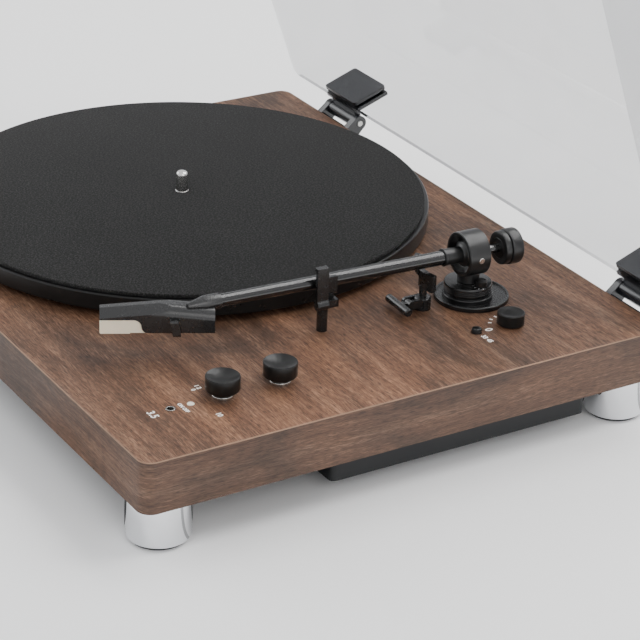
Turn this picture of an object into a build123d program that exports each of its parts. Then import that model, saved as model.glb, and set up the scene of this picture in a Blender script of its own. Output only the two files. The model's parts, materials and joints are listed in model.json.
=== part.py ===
from build123d import *
import math
import os

# Belt-drive record player with built-in amplifier controls, in millimetres.
# Origin: spindle axis at the top face of the mat. +X right, +Y back, +Z up.

# ---------------------------------------------------------------- cabinet
plinth_width = 420.0
plinth_depth = 330.0
plinth_thickness = 30.0
plinth_corner_radius = 8.0
plinth_edge_chamfer = 0.5
base_board_thickness = 3.0
base_board_inset = 6.0
spindle_from_right = 265.0
spindle_from_front = 165.0
top_web = 4.0

# ---------------------------------------------------------------- platter
platter_radius = 150.0
platter_height = 10.2
platter_top_wall = 4.0
platter_rim_wall = 7.0
platter_gap = 3.6
platter_rib_count = 12
platter_rib_height = 1.2
mat_radius = 147.5
mat_thickness = 2.2
mat_hole_radius = 4.3
pin_radius = 3.6
pin_length = 11.0
pin_tip_height = 1.6
bearing_shaft_radius = 4.0
bearing_clearance = 0.05
bearing_body_radius = 8.0
bearing_body_length = 26.0
bearing_flange_radius = 14.0
bearing_flange_height = 1.6
thrust_ball_radius = 2.5
sub_platter_radius = 80.0
sub_platter_hub_radius = 20.0
sub_platter_rim_wall = 5.0
sub_platter_web = 2.6

# ---------------------------------------------------------------- drive
pulley_radius = 5.0
pulley_flange = 0.9
motor_distance = 105.0
motor_heading = 150.0
motor_can_radius = 17.5
motor_can_height = 20.0
motor_shaft_radius = 1.0
motor_web = 5.0
motor_plate_radius = 15.5
motor_plate_thickness = 1.2
motor_screw_circle = 11.0
grommet_radius = 2.8
belt_width = 4.0
belt_thickness = 0.7

# ---------------------------------------------------------------- feet and tray
foot_radius = 17.5
foot_inset = 18.0
foot_height = 23.0
foot_stud_radius = 3.0
foot_stud_length = 14.0
pad_radius = 15.0
pad_thickness = 3.0
pad_recess = 1.0
tray_from_right = 10.0
tray_from_back = 45.5
tray_width = 150.0
tray_depth = 167.0
inlet_from_right = 26.0
line_out_from_right = 50.0
line_out_pitch = 14.0
terminals_from_left = (58.0, 46.0, 32.0, 20.0)
tray_height = 16.4
tray_wall = 1.5
tray_corner_radius = 3.0
vent_count = 9
vent_length = 46.0
vent_width = 3.0
vent_pitch = 7.0
board_width = 90.0
board_depth = 110.0
board_thickness = 1.6
standoff_height = 3.0
standoff_radius = 3.0

# ---------------------------------------------------------------- top controls
control_from_right = 46.5
volume_from_front = 71.0
tone_from_front = 106.0
speed_from_front = 256.0
button_from_front = 233.0
jack_from_front = 40.0
light_from_front = 52.0
knob_radius = 9.4
knob_height = 10.2
knob_dish_depth = 1.5
knob_foot_chamfer = 1.7
collar_radius = 6.1
collar_height = 2.0
speed_knob_radius = 7.75
speed_knob_height = 7.3
speed_knob_dish_depth = 0.5
control_shaft_radius = 3.0
control_bush_radius = 3.9
control_pocket_radius = 11.0
pot_body_radius = 8.0
pot_body_height = 9.0
button_radius = 2.8
button_height = 2.85
button_travel = 1.5
button_stem_radius = 1.6
button_stem_length = 4.4
switch_width = 9.0
switch_height = 5.0
jack_bore_radius = 1.8
jack_bore_length = 14.0
jack_ring_radius = 2.7
jack_ring_height = 0.5
jack_body_radius = 5.0
light_radius = 1.1

# ---------------------------------------------------------------- tonearm
arm_from_right = 85.4
arm_from_front = 253.0
arm_axis_height = 28.75
arm_heading = 2.4
arm_rise = 0.85
arm_lift_angle = 4.0
arm_base_radius = 21.6
arm_base_left = 0.2
arm_base_back = 3.0
arm_base_floor = 2.0
arm_base_rim_height = 3.0
arm_base_rim_width = 1.8
tower_radius = 13.8
tower_height = 11.4
tower_step_radius = 14.4
tower_step_top = 4.5
tower_groove = 0.8
tower_stem_radius = 7.0
tower_stem_length = 20.0
arm_nut_width = 20.0
arm_nut_height = 5.0
arm_nut_web = 10.0
yaw_shaft_radius = 3.0
yaw_shaft_length = 26.0
pillar_radius = 6.3
ring_radius = 13.0
ring_wall = 2.0
ring_front = 7.2
ring_rear = 6.5
pivot_screw_radius = 1.1
pivot_screw_head_radius = 1.7
pivot_screw_head_height = 0.7
block_radius = 7.6
block_half_length = 6.0
collar_tube_radius = 4.75
collar_reach = 18.5
tube_root_radius = 4.1
tube_tip_radius = 3.5
tube_wall = 0.9
tube_into_collar = 8.0
shaft_into_block = 4.0
tube_into_neck = 4.0
counterweight_drop = 0.6
counterweight_shaft_radius = 2.4
counterweight_radius = 10.4
counterweight_length = 7.4
counterweight_travel = 3.0
counterweight_end_wall = 1.2
counterweight_hub_radius = 6.0
force_dial_radius = 9.8
force_dial_length = 4.0
force_dial_start = 19.0
antiskate_offset = 10.1
antiskate_bearing = 15.0
antiskate_radius = 3.3
antiskate_height = 3.8

# ---------------------------------------------------------------- headshell
headshell_reach = 163.3
headshell_side = 3.2
headshell_offset = 25.0
headshell_length = 61.7
headshell_half_width = 7.5
headshell_bottom = 17.6
headshell_ridge_at = 29.5
headshell_rear_top = 30.0
headshell_ridge_top = 32.8
headshell_nose_top = 30.1
headshell_facet_low = 26.2
headshell_shoulder = 5.6
headshell_wall = 1.3
neck_lap = 4.0
neck_wall = 0.9
neck_length = 9.0
neck_fairing = 10.0
nose_bottom = 25.3
nose_start = 39.0
nose_corner_radius = 4.6
nose_toe_radius = 3.0
stylus_holder_half_width = 4.6
stylus_holder_start = 29.0
stylus_holder_end = 53.0
stylus_from_front = 4.0
guard_start = 34.5
guard_half_width = 6.6
guard_bottom = 16.9
guard_step_at = 45.5
guard_step = 0.5
guard_wall = 0.8
finger_lift_at = 22.0
finger_lift_width = 4.4
finger_lift_thickness = 1.3
finger_lift_out = 3.7
finger_lift_root = 26.0
finger_lift_tip = 17.1
finger_lift_lean = 1.7

# ---------------------------------------------------------------- arm rest and cueing
rest_from_pivot = 95.2
rest_post_radius = 3.06
rest_post_side = 0.3
rest_post_height = 22.0
rest_cradle_length = 6.0
rest_cradle_wall = 2.2
rest_gap = 0.45
rest_corner_radius = 2.4
rest_wall_rise = 4.5
clip_width = 7.4
clip_thickness = 2.6
clip_top = 41.6
clip_lip = 1.3
clip_drop = 11.0
clip_knuckle_radius = 3.0
clip_pin_radius = 1.2
lift_radius = 30.0
lift_thickness = 3.5
lift_bar_height = 10.0
lift_gap = 0.35
lift_right_span = 18.0
lift_plate_span = 5.0
lift_left_span = 47.0
lift_strip_height = 4.0
lift_rest_gap = 1.9
plunger_radius = 2.2
cue_hub_radius = 4.9
cue_hub_height = 7.5
cue_stem_radius = 4.0
cue_stem_length = 16.0
cue_pivot_forward = 9.0
cue_pivot_height = 4.8
cue_cheek_radius = 2.6
cue_cheek_thickness = 2.0
cue_knuckle_width = 3.8
cue_pin_radius = 1.1
cue_handle_forward = 6.6
cue_handle_length = 23.0
cue_handle_radius = 2.4

# ---------------------------------------------------------------- dust cover
cover_inset = 1.0
cover_height = 57.0
cover_wall = 3.0
cover_corner_radius = 6.0
cover_top_radius = 2.0
cover_rest_gap = 1.0
cover_open_angle = 70.0
hinge_axis_behind = 10.4
hinge_axis_above = 1.0
hinge_width = 38.0
right_hinge_from_right = 38.0
left_hinge_from_left = 61.0
hinge_plate_thickness = 3.0
hinge_plate_drop = 24.0
hinge_ear_thickness = 5.0
hinge_ear_radius = 5.0
hinge_pin_radius = 2.0
hinge_leaf_height = 26.0
hinge_leaf_thickness = 2.6

# ---------------------------------------------------------------- fits
running = 0.05
seat = 0.3

# ---------------------------------------------------------------- derived places
plinth_top = -(mat_thickness + platter_height + platter_gap)
plinth_bottom = plinth_top - plinth_thickness
right_x = spindle_from_right
left_x = right_x - plinth_width
front_y = -spindle_from_front
back_y = front_y + plinth_depth
plinth_mid_x = (left_x + right_x) / 2
plinth_mid_y = (front_y + back_y) / 2
board_bottom = plinth_bottom + base_board_thickness
control_x = right_x - control_from_right
arm_x = right_x - arm_from_right
arm_y = front_y + arm_from_front
platter_bottom = -mat_thickness - platter_height
platter_ceiling = -mat_thickness - platter_top_wall
sub_platter_bottom = plinth_top + bearing_flange_height + seat
belt_middle = (platter_ceiling - platter_rib_height + plinth_top + motor_plate_thickness) / 2
motor_x = motor_distance * math.cos(math.radians(motor_heading))
motor_y = motor_distance * math.sin(math.radians(motor_heading))
tray_right = right_x - tray_from_right
tray_back = back_y - tray_from_back
tray_front = tray_back - tray_depth
tray_left = tray_right - tray_width
tray_mid_x = tray_right - tray_width / 2
tray_mid_y = tray_front + tray_depth / 2
tray_floor = plinth_bottom - tray_height
tube_reach = headshell_reach + tube_into_neck
tube_run = tube_reach - collar_reach
rest_axis_height = arm_axis_height + rest_from_pivot * math.tan(math.radians(arm_rise))


def upright(radius, bottom, top, x=0.0, y=0.0):
    """A vertical cylinder between two heights."""
    return Pos(x, y, (bottom + top) / 2) * Cylinder(radius, top - bottom)


def along(radius, start, end):
    """A cylinder along local +X between two stations."""
    return Pos((start + end) / 2, 0, 0) * Rot(0, 90, 0) * Cylinder(radius, end - start)


def across(radius, half_length, x, z, y=0.0):
    """A cylinder along local Y, centred at x, y, z."""
    return Pos(x, y, z) * Rot(90, 0, 0) * Cylinder(radius, 2 * half_length)


def block(x0, x1, y0, y1, z0, z1):
    """A box between two corners."""
    return Pos((x0 + x1) / 2, (y0 + y1) / 2, (z0 + z1) / 2) * Box(x1 - x0, y1 - y0, z1 - z0)


def turned(points):
    """A solid turned about Z from a closed outline of radius and height."""
    outline = Polyline(*[(r, 0, z) for r, z in points], close=True)
    return revolve(make_face(outline), Axis.Z)


# Local frames: +X runs forward along the arm, +Z up, the origin on the pivot
# axis at the height of the plinth's top.
arm_frame = Pos(arm_x, arm_y, plinth_top) * Rot(0, 0, -(90 + arm_heading))
beam_frame = arm_frame * Pos(0, 0, arm_axis_height) * Rot(0, -arm_rise, 0)
shell_frame = arm_frame * Pos(headshell_reach, headshell_side, 0) * Rot(0, 0, -headshell_offset)


def control_place(from_front):
    return Pos(control_x, front_y + from_front, plinth_top)


# ================================================================ cabinet
def foot_places():
    reach_x = plinth_width / 2 - foot_inset
    reach_y = plinth_depth / 2 - foot_inset
    sides = {"left": -1, "right": 1}
    ends = {"front": -1, "back": 1}
    places = {}
    for end, sy in ends.items():
        for side, sx in sides.items():
            places[f"{end}_{side}"] = (plinth_mid_x + sx * reach_x, plinth_mid_y + sy * reach_y)
    return places


def motor_screw_places():
    places = []
    for k in range(3):
        turn = math.radians(motor_heading + 60 + 120 * k)
        x = motor_x + motor_screw_circle * math.cos(turn)
        y = motor_y + motor_screw_circle * math.sin(turn)
        places.append((x, y))
    return places


def make_plinth():
    body = Box(plinth_width, plinth_depth, plinth_thickness)
    body = fillet(body.edges().filter_by(Axis.Z), plinth_corner_radius)
    body = chamfer(body.faces().sort_by(Axis.Z)[-1].edges(), plinth_edge_chamfer)
    body = Pos(plinth_mid_x, plinth_mid_y, plinth_bottom + plinth_thickness / 2) * body
    rebate_x = plinth_width - 2 * base_board_inset
    rebate_y = plinth_depth - 2 * base_board_inset
    rebate = Pos(plinth_mid_x, plinth_mid_y, (plinth_bottom + board_bottom) / 2)
    body -= rebate * Box(rebate_x, rebate_y, base_board_thickness)
    body -= upright(bearing_body_radius + seat, plinth_bottom, plinth_top)
    body -= upright(motor_can_radius + 1.5, plinth_bottom, plinth_top - motor_web, motor_x, motor_y)
    body -= upright(pulley_radius + 2.0, plinth_bottom, plinth_top, motor_x, motor_y)
    for x, y in motor_screw_places():
        body -= upright(grommet_radius, plinth_bottom, plinth_top, x, y)
    body -= upright(tower_stem_radius + seat, plinth_bottom, plinth_top, arm_x, arm_y)
    body -= upright(arm_nut_width * 0.62, plinth_bottom, plinth_top - arm_nut_web, arm_x, arm_y)
    for from_front in (volume_from_front, tone_from_front, speed_from_front):
        y = front_y + from_front
        body -= upright(control_bush_radius + seat, plinth_bottom, plinth_top, control_x, y)
        body -= upright(control_pocket_radius, plinth_bottom, plinth_top - top_web, control_x, y)
    y = front_y + button_from_front
    body -= upright(button_radius + seat, plinth_bottom, plinth_top, control_x, y)
    body -= upright(pot_body_radius, plinth_bottom, plinth_top - top_web, control_x, y)
    y = front_y + jack_from_front
    body -= upright(jack_ring_radius - 0.2, plinth_bottom, plinth_top, control_x, y)
    body -= upright(jack_body_radius + seat, plinth_bottom, plinth_top - top_web, control_x, y)
    y = front_y + light_from_front
    body -= upright(light_radius, plinth_bottom, plinth_top, control_x, y)
    body -= upright(light_radius + 2.4, plinth_bottom, plinth_top - top_web, control_x, y)
    hub = arm_frame * Pos(lift_radius, 0, 0)
    body -= hub * Pos(0, 0, -cue_stem_length / 2) * Cylinder(cue_stem_radius, cue_stem_length)
    post = arm_frame * Pos(rest_from_pivot, rest_post_side, 0)
    body -= post * Pos(0, 0, -5) * Cylinder(rest_post_radius - 1, 10)
    for x, y in foot_places().values():
        top = plinth_bottom + foot_stud_length
        body -= upright(foot_stud_radius, plinth_bottom, top, x, y)
    return body


def make_base_board():
    board = Pos(plinth_mid_x, plinth_mid_y, (plinth_bottom + board_bottom) / 2) * Box(
        plinth_width - 2 * base_board_inset,
        plinth_depth - 2 * base_board_inset,
        base_board_thickness,
    )
    for x, y in foot_places().values():
        board -= upright(foot_stud_radius, plinth_bottom, board_bottom, x, y)
    for x, y in tray_screw_places():
        board -= upright(case_screw_radius, plinth_bottom, board_bottom, x, y)
    return board


def make_foot(x, y):
    top = plinth_bottom
    bottom = top - foot_height
    body = upright(foot_radius, bottom, top, x, y)
    body = chamfer(body.faces().sort_by(Axis.Z)[0].edges(), 0.8)
    body -= upright(pad_radius, bottom, bottom + pad_recess, x, y)
    body += upright(foot_stud_radius, top, top + foot_stud_length, x, y)
    return body


def make_foot_pads():
    top = plinth_bottom - foot_height + pad_recess
    return [upright(pad_radius, top - pad_thickness, top, x, y) for x, y in foot_places().values()]


def standoff_places():
    places = []
    for sx in (-1, 1):
        for sy in (-1, 1):
            x = board_mid_x + sx * (board_width / 2 - 2 * standoff_radius)
            y = tray_mid_y + sy * (board_depth / 2 - 2 * standoff_radius)
            places.append((x, y))
    return places


board_mid_x = tray_right - tray_wall - 6.0 - board_width / 2
board_level = tray_floor + tray_wall + standoff_height
socket_level = (tray_floor + plinth_bottom) / 2
line_out_x = (tray_right - line_out_from_right, tray_right - line_out_from_right - line_out_pitch)
inlet_x = tray_right - inlet_from_right
terminal_x = [tray_left + reach for reach in terminals_from_left]
line_out_radius = 4.15
line_out_reach = 9.0
line_out_flange = 5.6
inlet_radius = 5.2
terminal_radius = 3.2
tray_boss_radius = 4.0
case_screw_radius = 1.5
case_screw_head_radius = 3.0
case_screw_head_height = 1.6


def tray_screw_places():
    places = []
    for sx in (-1, 1):
        for sy in (-1, 1):
            x = tray_mid_x + sx * (tray_width / 2 - tray_boss_radius - 0.7)
            y = tray_mid_y + sy * (tray_depth / 2 - tray_boss_radius - 0.7)
            places.append((x, y))
    return places


def make_under_tray():
    shell = Box(tray_width, tray_depth, tray_height)
    shell = fillet(shell.edges().filter_by(Axis.Z), tray_corner_radius)
    inner_width = tray_width - 2 * tray_wall
    inner_depth = tray_depth - 2 * tray_wall
    hollow = Pos(0, 0, tray_wall) * Box(inner_width, inner_depth, tray_height)
    shell = Pos(tray_mid_x, tray_mid_y, tray_floor + tray_height / 2) * (shell - hollow)
    for x, y in standoff_places():
        shell += upright(standoff_radius, tray_floor, board_level, x, y)
    for x, y in tray_screw_places():
        shell += upright(tray_boss_radius, tray_floor, plinth_bottom, x, y)
        shell -= upright(case_screw_radius, tray_floor, plinth_bottom, x, y)
    vent_x = tray_mid_x - tray_width / 4
    for k in range(vent_count):
        y = tray_mid_y + (k - (vent_count - 1) / 2) * vent_pitch
        slot = Pos(vent_x, y, tray_floor) * Box(vent_length, vent_width, 3 * tray_wall)
        shell -= slot
    rear = tray_back - tray_wall / 2
    for x in line_out_x:
        shell -= across(line_out_radius, tray_wall, x, socket_level, rear)
    shell -= across(inlet_radius, tray_wall, inlet_x, socket_level, rear)
    for x in terminal_x:
        shell -= across(terminal_radius - 0.8, tray_wall, x, socket_level, rear)
    return shell


def make_amplifier_board():
    top = board_level + board_thickness
    half_w = board_width / 2
    half_d = board_depth / 2
    board = block(board_mid_x - half_w, board_mid_x + half_w, tray_mid_y - half_d,
                  tray_mid_y + half_d, board_level, top)
    heat_sink = block(board_mid_x - 34, board_mid_x + 10, tray_mid_y - 20, tray_mid_y + 6,
                      top, top + 2)
    for k in range(9):
        x = board_mid_x - 33 + 5.25 * k
        heat_sink += block(x, x + 1.4, tray_mid_y - 20, tray_mid_y + 6, top + 2, top + 8)
    parts = [board, heat_sink]
    for x, y, radius, height in ((24, 30, 5, 8), (24, 16, 5, 8), (-26, 30, 4, 7), (-14, 30, 4, 7)):
        parts.append(upright(radius, top, top + height, board_mid_x + x, tray_mid_y + y))
    parts.append(block(board_mid_x - 12, board_mid_x + 4, tray_mid_y - 44, tray_mid_y - 34,
                       top, top + 1.6))
    return parts


def make_dc_inlet():
    rear = tray_back
    body = across(inlet_radius, 5.5, inlet_x, socket_level, rear - 4.0)
    body += across(inlet_radius + 1.4, 0.6, inlet_x, socket_level, rear + 0.9)
    body -= across(2.75, 4.6, inlet_x, socket_level, rear - 2.8)
    body += across(1.0, 4.0, inlet_x, socket_level, rear - 3.6)
    return body


def make_line_out_sockets():
    sockets = []
    for x in line_out_x:
        reach = tray_back + line_out_reach
        barrel = across(line_out_radius, (line_out_reach + 8) / 2, x, socket_level,
                        (reach + tray_back - 8) / 2)
        barrel += across(line_out_flange, 0.6, x, socket_level, tray_back + 0.6)
        barrel -= across(1.7, 5.0, x, socket_level, reach - 5.0)
        sockets.append(barrel)
    return sockets


def make_speaker_terminals():
    posts = []
    for x in terminal_x:
        stem = across(terminal_radius - 0.8, 4.0, x, socket_level, tray_back - 4.0)
        cap = across(terminal_radius + 1.2, 4.5, x, socket_level, tray_back + 4.5)
        cap = chamfer(cap.faces().sort_by(Axis.Y)[-1].edges(), 0.8)
        posts.append(stem + cap)
    return posts


def make_case_screws():
    screws = []
    for x, y in tray_screw_places():
        screw = upright(case_screw_radius, tray_floor, board_bottom, x, y)
        low = tray_floor - case_screw_head_height
        screw += upright(case_screw_head_radius, low, tray_floor, x, y)
        screws.append(screw)
    for x, y in motor_screw_places():
        top = plinth_top + motor_plate_thickness
        screw = upright(1.0, plinth_top - motor_web - 3, top, x, y)
        screw += upright(1.9, top, top + 0.8, x, y)
        screws.append(screw)
    return screws


# ================================================================ platter and its bearing
def make_platter():
    body = upright(platter_radius, platter_bottom, -mat_thickness)
    body = chamfer(body.faces().sort_by(Axis.Z)[-1].edges(), 0.8)
    body = fillet(body.faces().sort_by(Axis.Z)[0].edges(), 0.8)
    body -= upright(platter_radius - platter_rim_wall, platter_bottom, platter_ceiling)
    rib_start = sub_platter_radius + 2.0
    rib_end = platter_radius - platter_rim_wall + 1.0
    for k in range(platter_rib_count):
        rib = block(rib_start, rib_end, -1.5, 1.5, platter_ceiling - platter_rib_height,
                    platter_ceiling + 0.5)
        body += Rot(0, 0, (k + 0.5) * 360 / platter_rib_count) * rib
    body -= upright(bearing_shaft_radius, platter_bottom, 0)
    return body


def make_mat():
    return upright(mat_radius, -mat_thickness, 0) - upright(mat_hole_radius, -mat_thickness, 0)


def make_sub_platter():
    disc = upright(sub_platter_radius, sub_platter_bottom, platter_ceiling)
    hollow = upright(sub_platter_radius - sub_platter_rim_wall, sub_platter_bottom,
                     platter_ceiling - sub_platter_web)
    hub = upright(sub_platter_hub_radius, sub_platter_bottom, platter_ceiling)
    body = disc - (hollow - hub)
    return body - upright(bearing_shaft_radius, sub_platter_bottom, platter_ceiling)


def make_spindle():
    low = plinth_top - bearing_body_length + 3.0 + 2 * thrust_ball_radius
    return turned([
        (0, low),
        (bearing_shaft_radius - 0.6, low),
        (bearing_shaft_radius, low + 0.6),
        (bearing_shaft_radius, 0),
        (pin_radius, 0),
        (pin_radius, pin_length),
        (pin_radius - 1.0, pin_length + pin_tip_height * 0.7),
        (pin_radius - 2.4, pin_length + pin_tip_height),
        (0, pin_length + pin_tip_height),
    ])


def make_bearing_housing():
    low = plinth_top - bearing_body_length
    bore = bearing_shaft_radius + bearing_clearance
    return turned([
        (0, low),
        (bearing_body_radius, low),
        (bearing_body_radius, plinth_top),
        (bearing_flange_radius, plinth_top),
        (bearing_flange_radius, plinth_top + bearing_flange_height),
        (bore, plinth_top + bearing_flange_height),
        (bore, low + 3.0),
        (0, low + 3.0),
    ])


def make_thrust_ball():
    level = plinth_top - bearing_body_length + 3.0 + thrust_ball_radius
    return Pos(0, 0, level) * Sphere(thrust_ball_radius)


# ================================================================ motor and belt
def make_motor_can():
    top = plinth_top - motor_web
    body = upright(motor_can_radius, top - motor_can_height, top, motor_x, motor_y)
    body = fillet(body.faces().sort_by(Axis.Z)[0].edges(), 2.0)
    body += upright(motor_plate_radius * 0.25, top, plinth_top, motor_x, motor_y)
    bore = motor_shaft_radius + running
    body -= upright(bore, top - motor_can_height + 4, plinth_top, motor_x, motor_y)
    for x, y in motor_screw_places():
        body -= upright(1.0, top - 3, top, x, y)
    return body


def make_motor_plate():
    top = plinth_top + motor_plate_thickness
    plate = upright(motor_plate_radius, plinth_top, top, motor_x, motor_y)
    plate -= upright(pulley_radius + 1.5, plinth_top, top, motor_x, motor_y)
    for x, y in motor_screw_places():
        plate -= upright(1.0, plinth_top, top, x, y)
    return plate


def make_motor_grommets():
    grommets = []
    for x, y in motor_screw_places():
        ring = upright(grommet_radius, plinth_top - motor_web, plinth_top, x, y)
        grommets.append(ring - upright(1.0, plinth_top - motor_web, plinth_top, x, y))
    return grommets


def make_motor_shaft():
    low = plinth_top - motor_web - motor_can_height + 4 + seat
    return upright(motor_shaft_radius, low, belt_middle + belt_width / 2, motor_x, motor_y)


def make_motor_pulley():
    half = belt_width / 2 + 0.2
    low = belt_middle - half
    high = belt_middle + half
    rim = pulley_radius + pulley_flange
    body = turned([
        (motor_shaft_radius, low - 0.7),
        (rim, low - 0.7),
        (rim, low),
        (pulley_radius - 0.2, low),
        (pulley_radius, belt_middle),
        (pulley_radius - 0.2, high),
        (rim, high),
        (rim, high + 0.4),
        (motor_shaft_radius, high + 0.4),
    ])
    return Pos(motor_x, motor_y, 0) * body


def belt_loop(grow):
    large = Circle(sub_platter_radius + seat + grow)
    small = Pos(motor_x, motor_y) * Circle(pulley_radius + seat + grow)
    return make_hull((Sketch() + [large, small]).edges())


def make_drive_belt():
    band = belt_loop(belt_thickness) - belt_loop(0)
    return Pos(0, 0, belt_middle - belt_width / 2) * extrude(band, belt_width)


# ================================================================ top controls
def make_control_knob(from_front, radius, bottom, height, dish, foot_chamfer):
    dish_radius = (radius ** 2 + dish ** 2) / (2 * dish)
    outline = [
        (0, bottom),
        (radius - foot_chamfer, bottom),
        (radius, bottom + foot_chamfer),
        (radius, bottom + height - 0.5),
        (radius - 0.5, bottom + height),
        (0, bottom + height),
    ]
    body = turned(outline)
    body -= Pos(0, 0, bottom + height + dish_radius - dish) * Sphere(dish_radius)
    notch = Pos(0, radius, bottom + height) * Box(0.8, 2.4, 1.6)
    body -= notch
    shaft_low = -top_web - pot_body_height + 2
    body += upright(control_shaft_radius, shaft_low, bottom + 1)
    return control_place(from_front) * body


def make_knob_collars():
    bore = control_shaft_radius + running
    ring = upright(collar_radius, 0, collar_height) - upright(bore, 0, collar_height)
    ring = chamfer(ring.faces().sort_by(Axis.Z)[-1].edges().sort_by(SortBy.LENGTH)[-1], 0.4)
    return [control_place(place) * ring for place in (volume_from_front, tone_from_front)]


def make_potentiometers():
    pots = []
    for from_front in (volume_from_front, tone_from_front, speed_from_front):
        low = -top_web - pot_body_height
        body = upright(pot_body_radius, low, -top_web)
        body += upright(control_bush_radius, -top_web, 0)
        body += block(-pot_body_radius - 1.5, 0, -4, 4, low, low + 1.6)
        body -= upright(control_shaft_radius + running, low + 1.6, 0)
        pots.append(control_place(from_front) * body)
    return pots


button_low = -top_web + 0.2
switch_top = button_low - button_travel - 0.8


def make_start_button():
    body = upright(button_radius, button_low, button_height)
    body = fillet(body.faces().sort_by(Axis.Z)[-1].edges(), 0.6)
    body += upright(button_stem_radius, button_low - button_stem_length, button_low)
    return control_place(button_from_front) * body


def make_button_switch():
    low = switch_top - switch_height
    body = Pos(0, 0, low + switch_height / 2) * Box(switch_width, switch_width, switch_height)
    body += block(-1.5, 1.5, -pot_body_radius + 0.4, pot_body_radius - 0.4, low - 1.4, low)
    bore_low = button_low - button_stem_length - button_travel - seat
    body -= upright(button_stem_radius + running, bore_low, switch_top)
    return control_place(button_from_front) * body


def make_headphone_socket():
    low = jack_ring_height - jack_bore_length
    body = upright(jack_ring_radius, 0, jack_ring_height)
    body += upright(jack_ring_radius - 0.2, -top_web, 0)
    body += upright(jack_body_radius, low - 2.0, -top_web)
    body -= upright(jack_bore_radius, low, jack_ring_height)
    return control_place(jack_from_front) * body


def make_power_light():
    body = upright(light_radius, -top_web, 0.2)
    body += Pos(0, 0, 0.2) * scale(Sphere(light_radius), (1, 1, 0.5))
    body += upright(light_radius + 0.9, -top_web - 4, -top_web)
    return control_place(light_from_front) * body


# ================================================================ tonearm base
def make_arm_base():
    inner = arm_base_radius - arm_base_rim_width
    body = turned([
        (0, 0),
        (arm_base_radius, 0),
        (arm_base_radius, arm_base_rim_height - 0.5),
        (arm_base_radius - 0.5, arm_base_rim_height),
        (inner + 0.3, arm_base_rim_height),
        (inner, arm_base_floor),
        (0, arm_base_floor),
    ])
    body = Pos(arm_x - arm_base_left, arm_y + arm_base_back, plinth_top) * body
    hole = upright(tower_stem_radius + seat, plinth_top, plinth_top + arm_base_floor, arm_x, arm_y)
    return body - hole


def make_arm_tower():
    bore = yaw_shaft_radius + running
    body = turned([
        (bore, -tower_stem_length),
        (tower_stem_radius, -tower_stem_length),
        (tower_stem_radius, arm_base_floor),
        (tower_step_radius, arm_base_floor),
        (tower_step_radius, tower_step_top - 0.5),
        (tower_step_radius - 0.5, tower_step_top),
        (tower_radius - tower_groove, tower_step_top),
        (tower_radius - tower_groove, tower_step_top + 1.0),
        (tower_radius, tower_step_top + 1.6),
        (tower_radius, tower_height - 0.8),
        (tower_radius - 0.8, tower_height),
        (bore, tower_height),
    ])
    dial_stem = arm_frame * antiskate_place()
    body = Pos(arm_x, arm_y, plinth_top) * body
    return body - dial_stem * upright(1.2 + running, tower_height - 5, tower_height)


def antiskate_place():
    turn = math.radians(90 + antiskate_bearing)
    x = antiskate_offset * math.cos(turn)
    y = antiskate_offset * math.sin(turn)
    return Pos(x, y, 0)


def make_antiskate_dial():
    low = tower_height + seat
    body = upright(antiskate_radius, low, tower_height + antiskate_height)
    body = chamfer(body.faces().sort_by(Axis.Z)[-1].edges(), 0.5)
    body += upright(1.2, tower_height - 5 + seat, low)
    return arm_frame * antiskate_place() * body


def make_arm_nut():
    top = -arm_nut_web
    hexagon = RegularPolygon(arm_nut_width / 2, 6, major_radius=False)
    nut = Pos(0, 0, top - arm_nut_height) * extrude(hexagon, arm_nut_height)
    nut -= upright(tower_stem_radius, top - arm_nut_height, top)
    return Pos(arm_x, arm_y, plinth_top) * nut


pivot_screw_seat = ring_radius - 0.3


def make_gimbal_ring():
    outer = along(ring_radius, -ring_rear, ring_front)
    outer = chamfer(outer.edges().filter_by(GeomType.CIRCLE), 0.4)
    pillar = upright(pillar_radius, tower_height + seat, arm_axis_height)
    shaft = upright(yaw_shaft_radius, tower_height + seat - yaw_shaft_length, arm_axis_height)
    body = Pos(0, 0, arm_axis_height) * outer + pillar + shaft
    body -= Pos(0, 0, arm_axis_height) * along(ring_radius - ring_wall, -ring_rear, ring_front)
    body -= across(pivot_screw_radius, ring_radius + 1, 0, arm_axis_height)
    for side in (-1, 1):
        spot = side * (pivot_screw_seat + 1.0)
        body -= across(pivot_screw_head_radius, 1.0, 0, arm_axis_height, spot)
    return arm_frame * body


def make_pivot_screws():
    screws = []
    start = block_radius - 2.2
    head_end = pivot_screw_seat + pivot_screw_head_height
    for side in (-1, 1):
        shank_middle = side * (pivot_screw_seat + start) / 2
        shank = across(pivot_screw_radius, (pivot_screw_seat - start) / 2, 0, arm_axis_height,
                       shank_middle)
        head = across(pivot_screw_head_radius, pivot_screw_head_height / 2, 0, arm_axis_height,
                      side * (head_end + pivot_screw_seat) / 2)
        screws.append(arm_frame * (shank + head))
    return screws


# ================================================================ tonearm beam
def make_bearing_block():
    stub_end = -ring_rear - 1.0
    body = along(block_radius, -block_half_length, block_half_length)
    body = chamfer(body.edges().filter_by(GeomType.CIRCLE), 1.2)
    body += along(collar_tube_radius, 0, collar_reach)
    body += along(collar_tube_radius + 0.35, collar_reach - 1.2, collar_reach)
    body += Pos(0, 0, -counterweight_drop) * along(collar_tube_radius - 0.6, stub_end, 0)
    body -= across(pivot_screw_radius + running, block_radius + 1, 0, 0)
    body -= along(tube_root_radius, collar_reach - tube_into_collar, collar_reach)
    shaft = along(counterweight_shaft_radius, stub_end, stub_end + shaft_into_block)
    return beam_frame * (body - Pos(0, 0, -counterweight_drop) * shaft)


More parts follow.
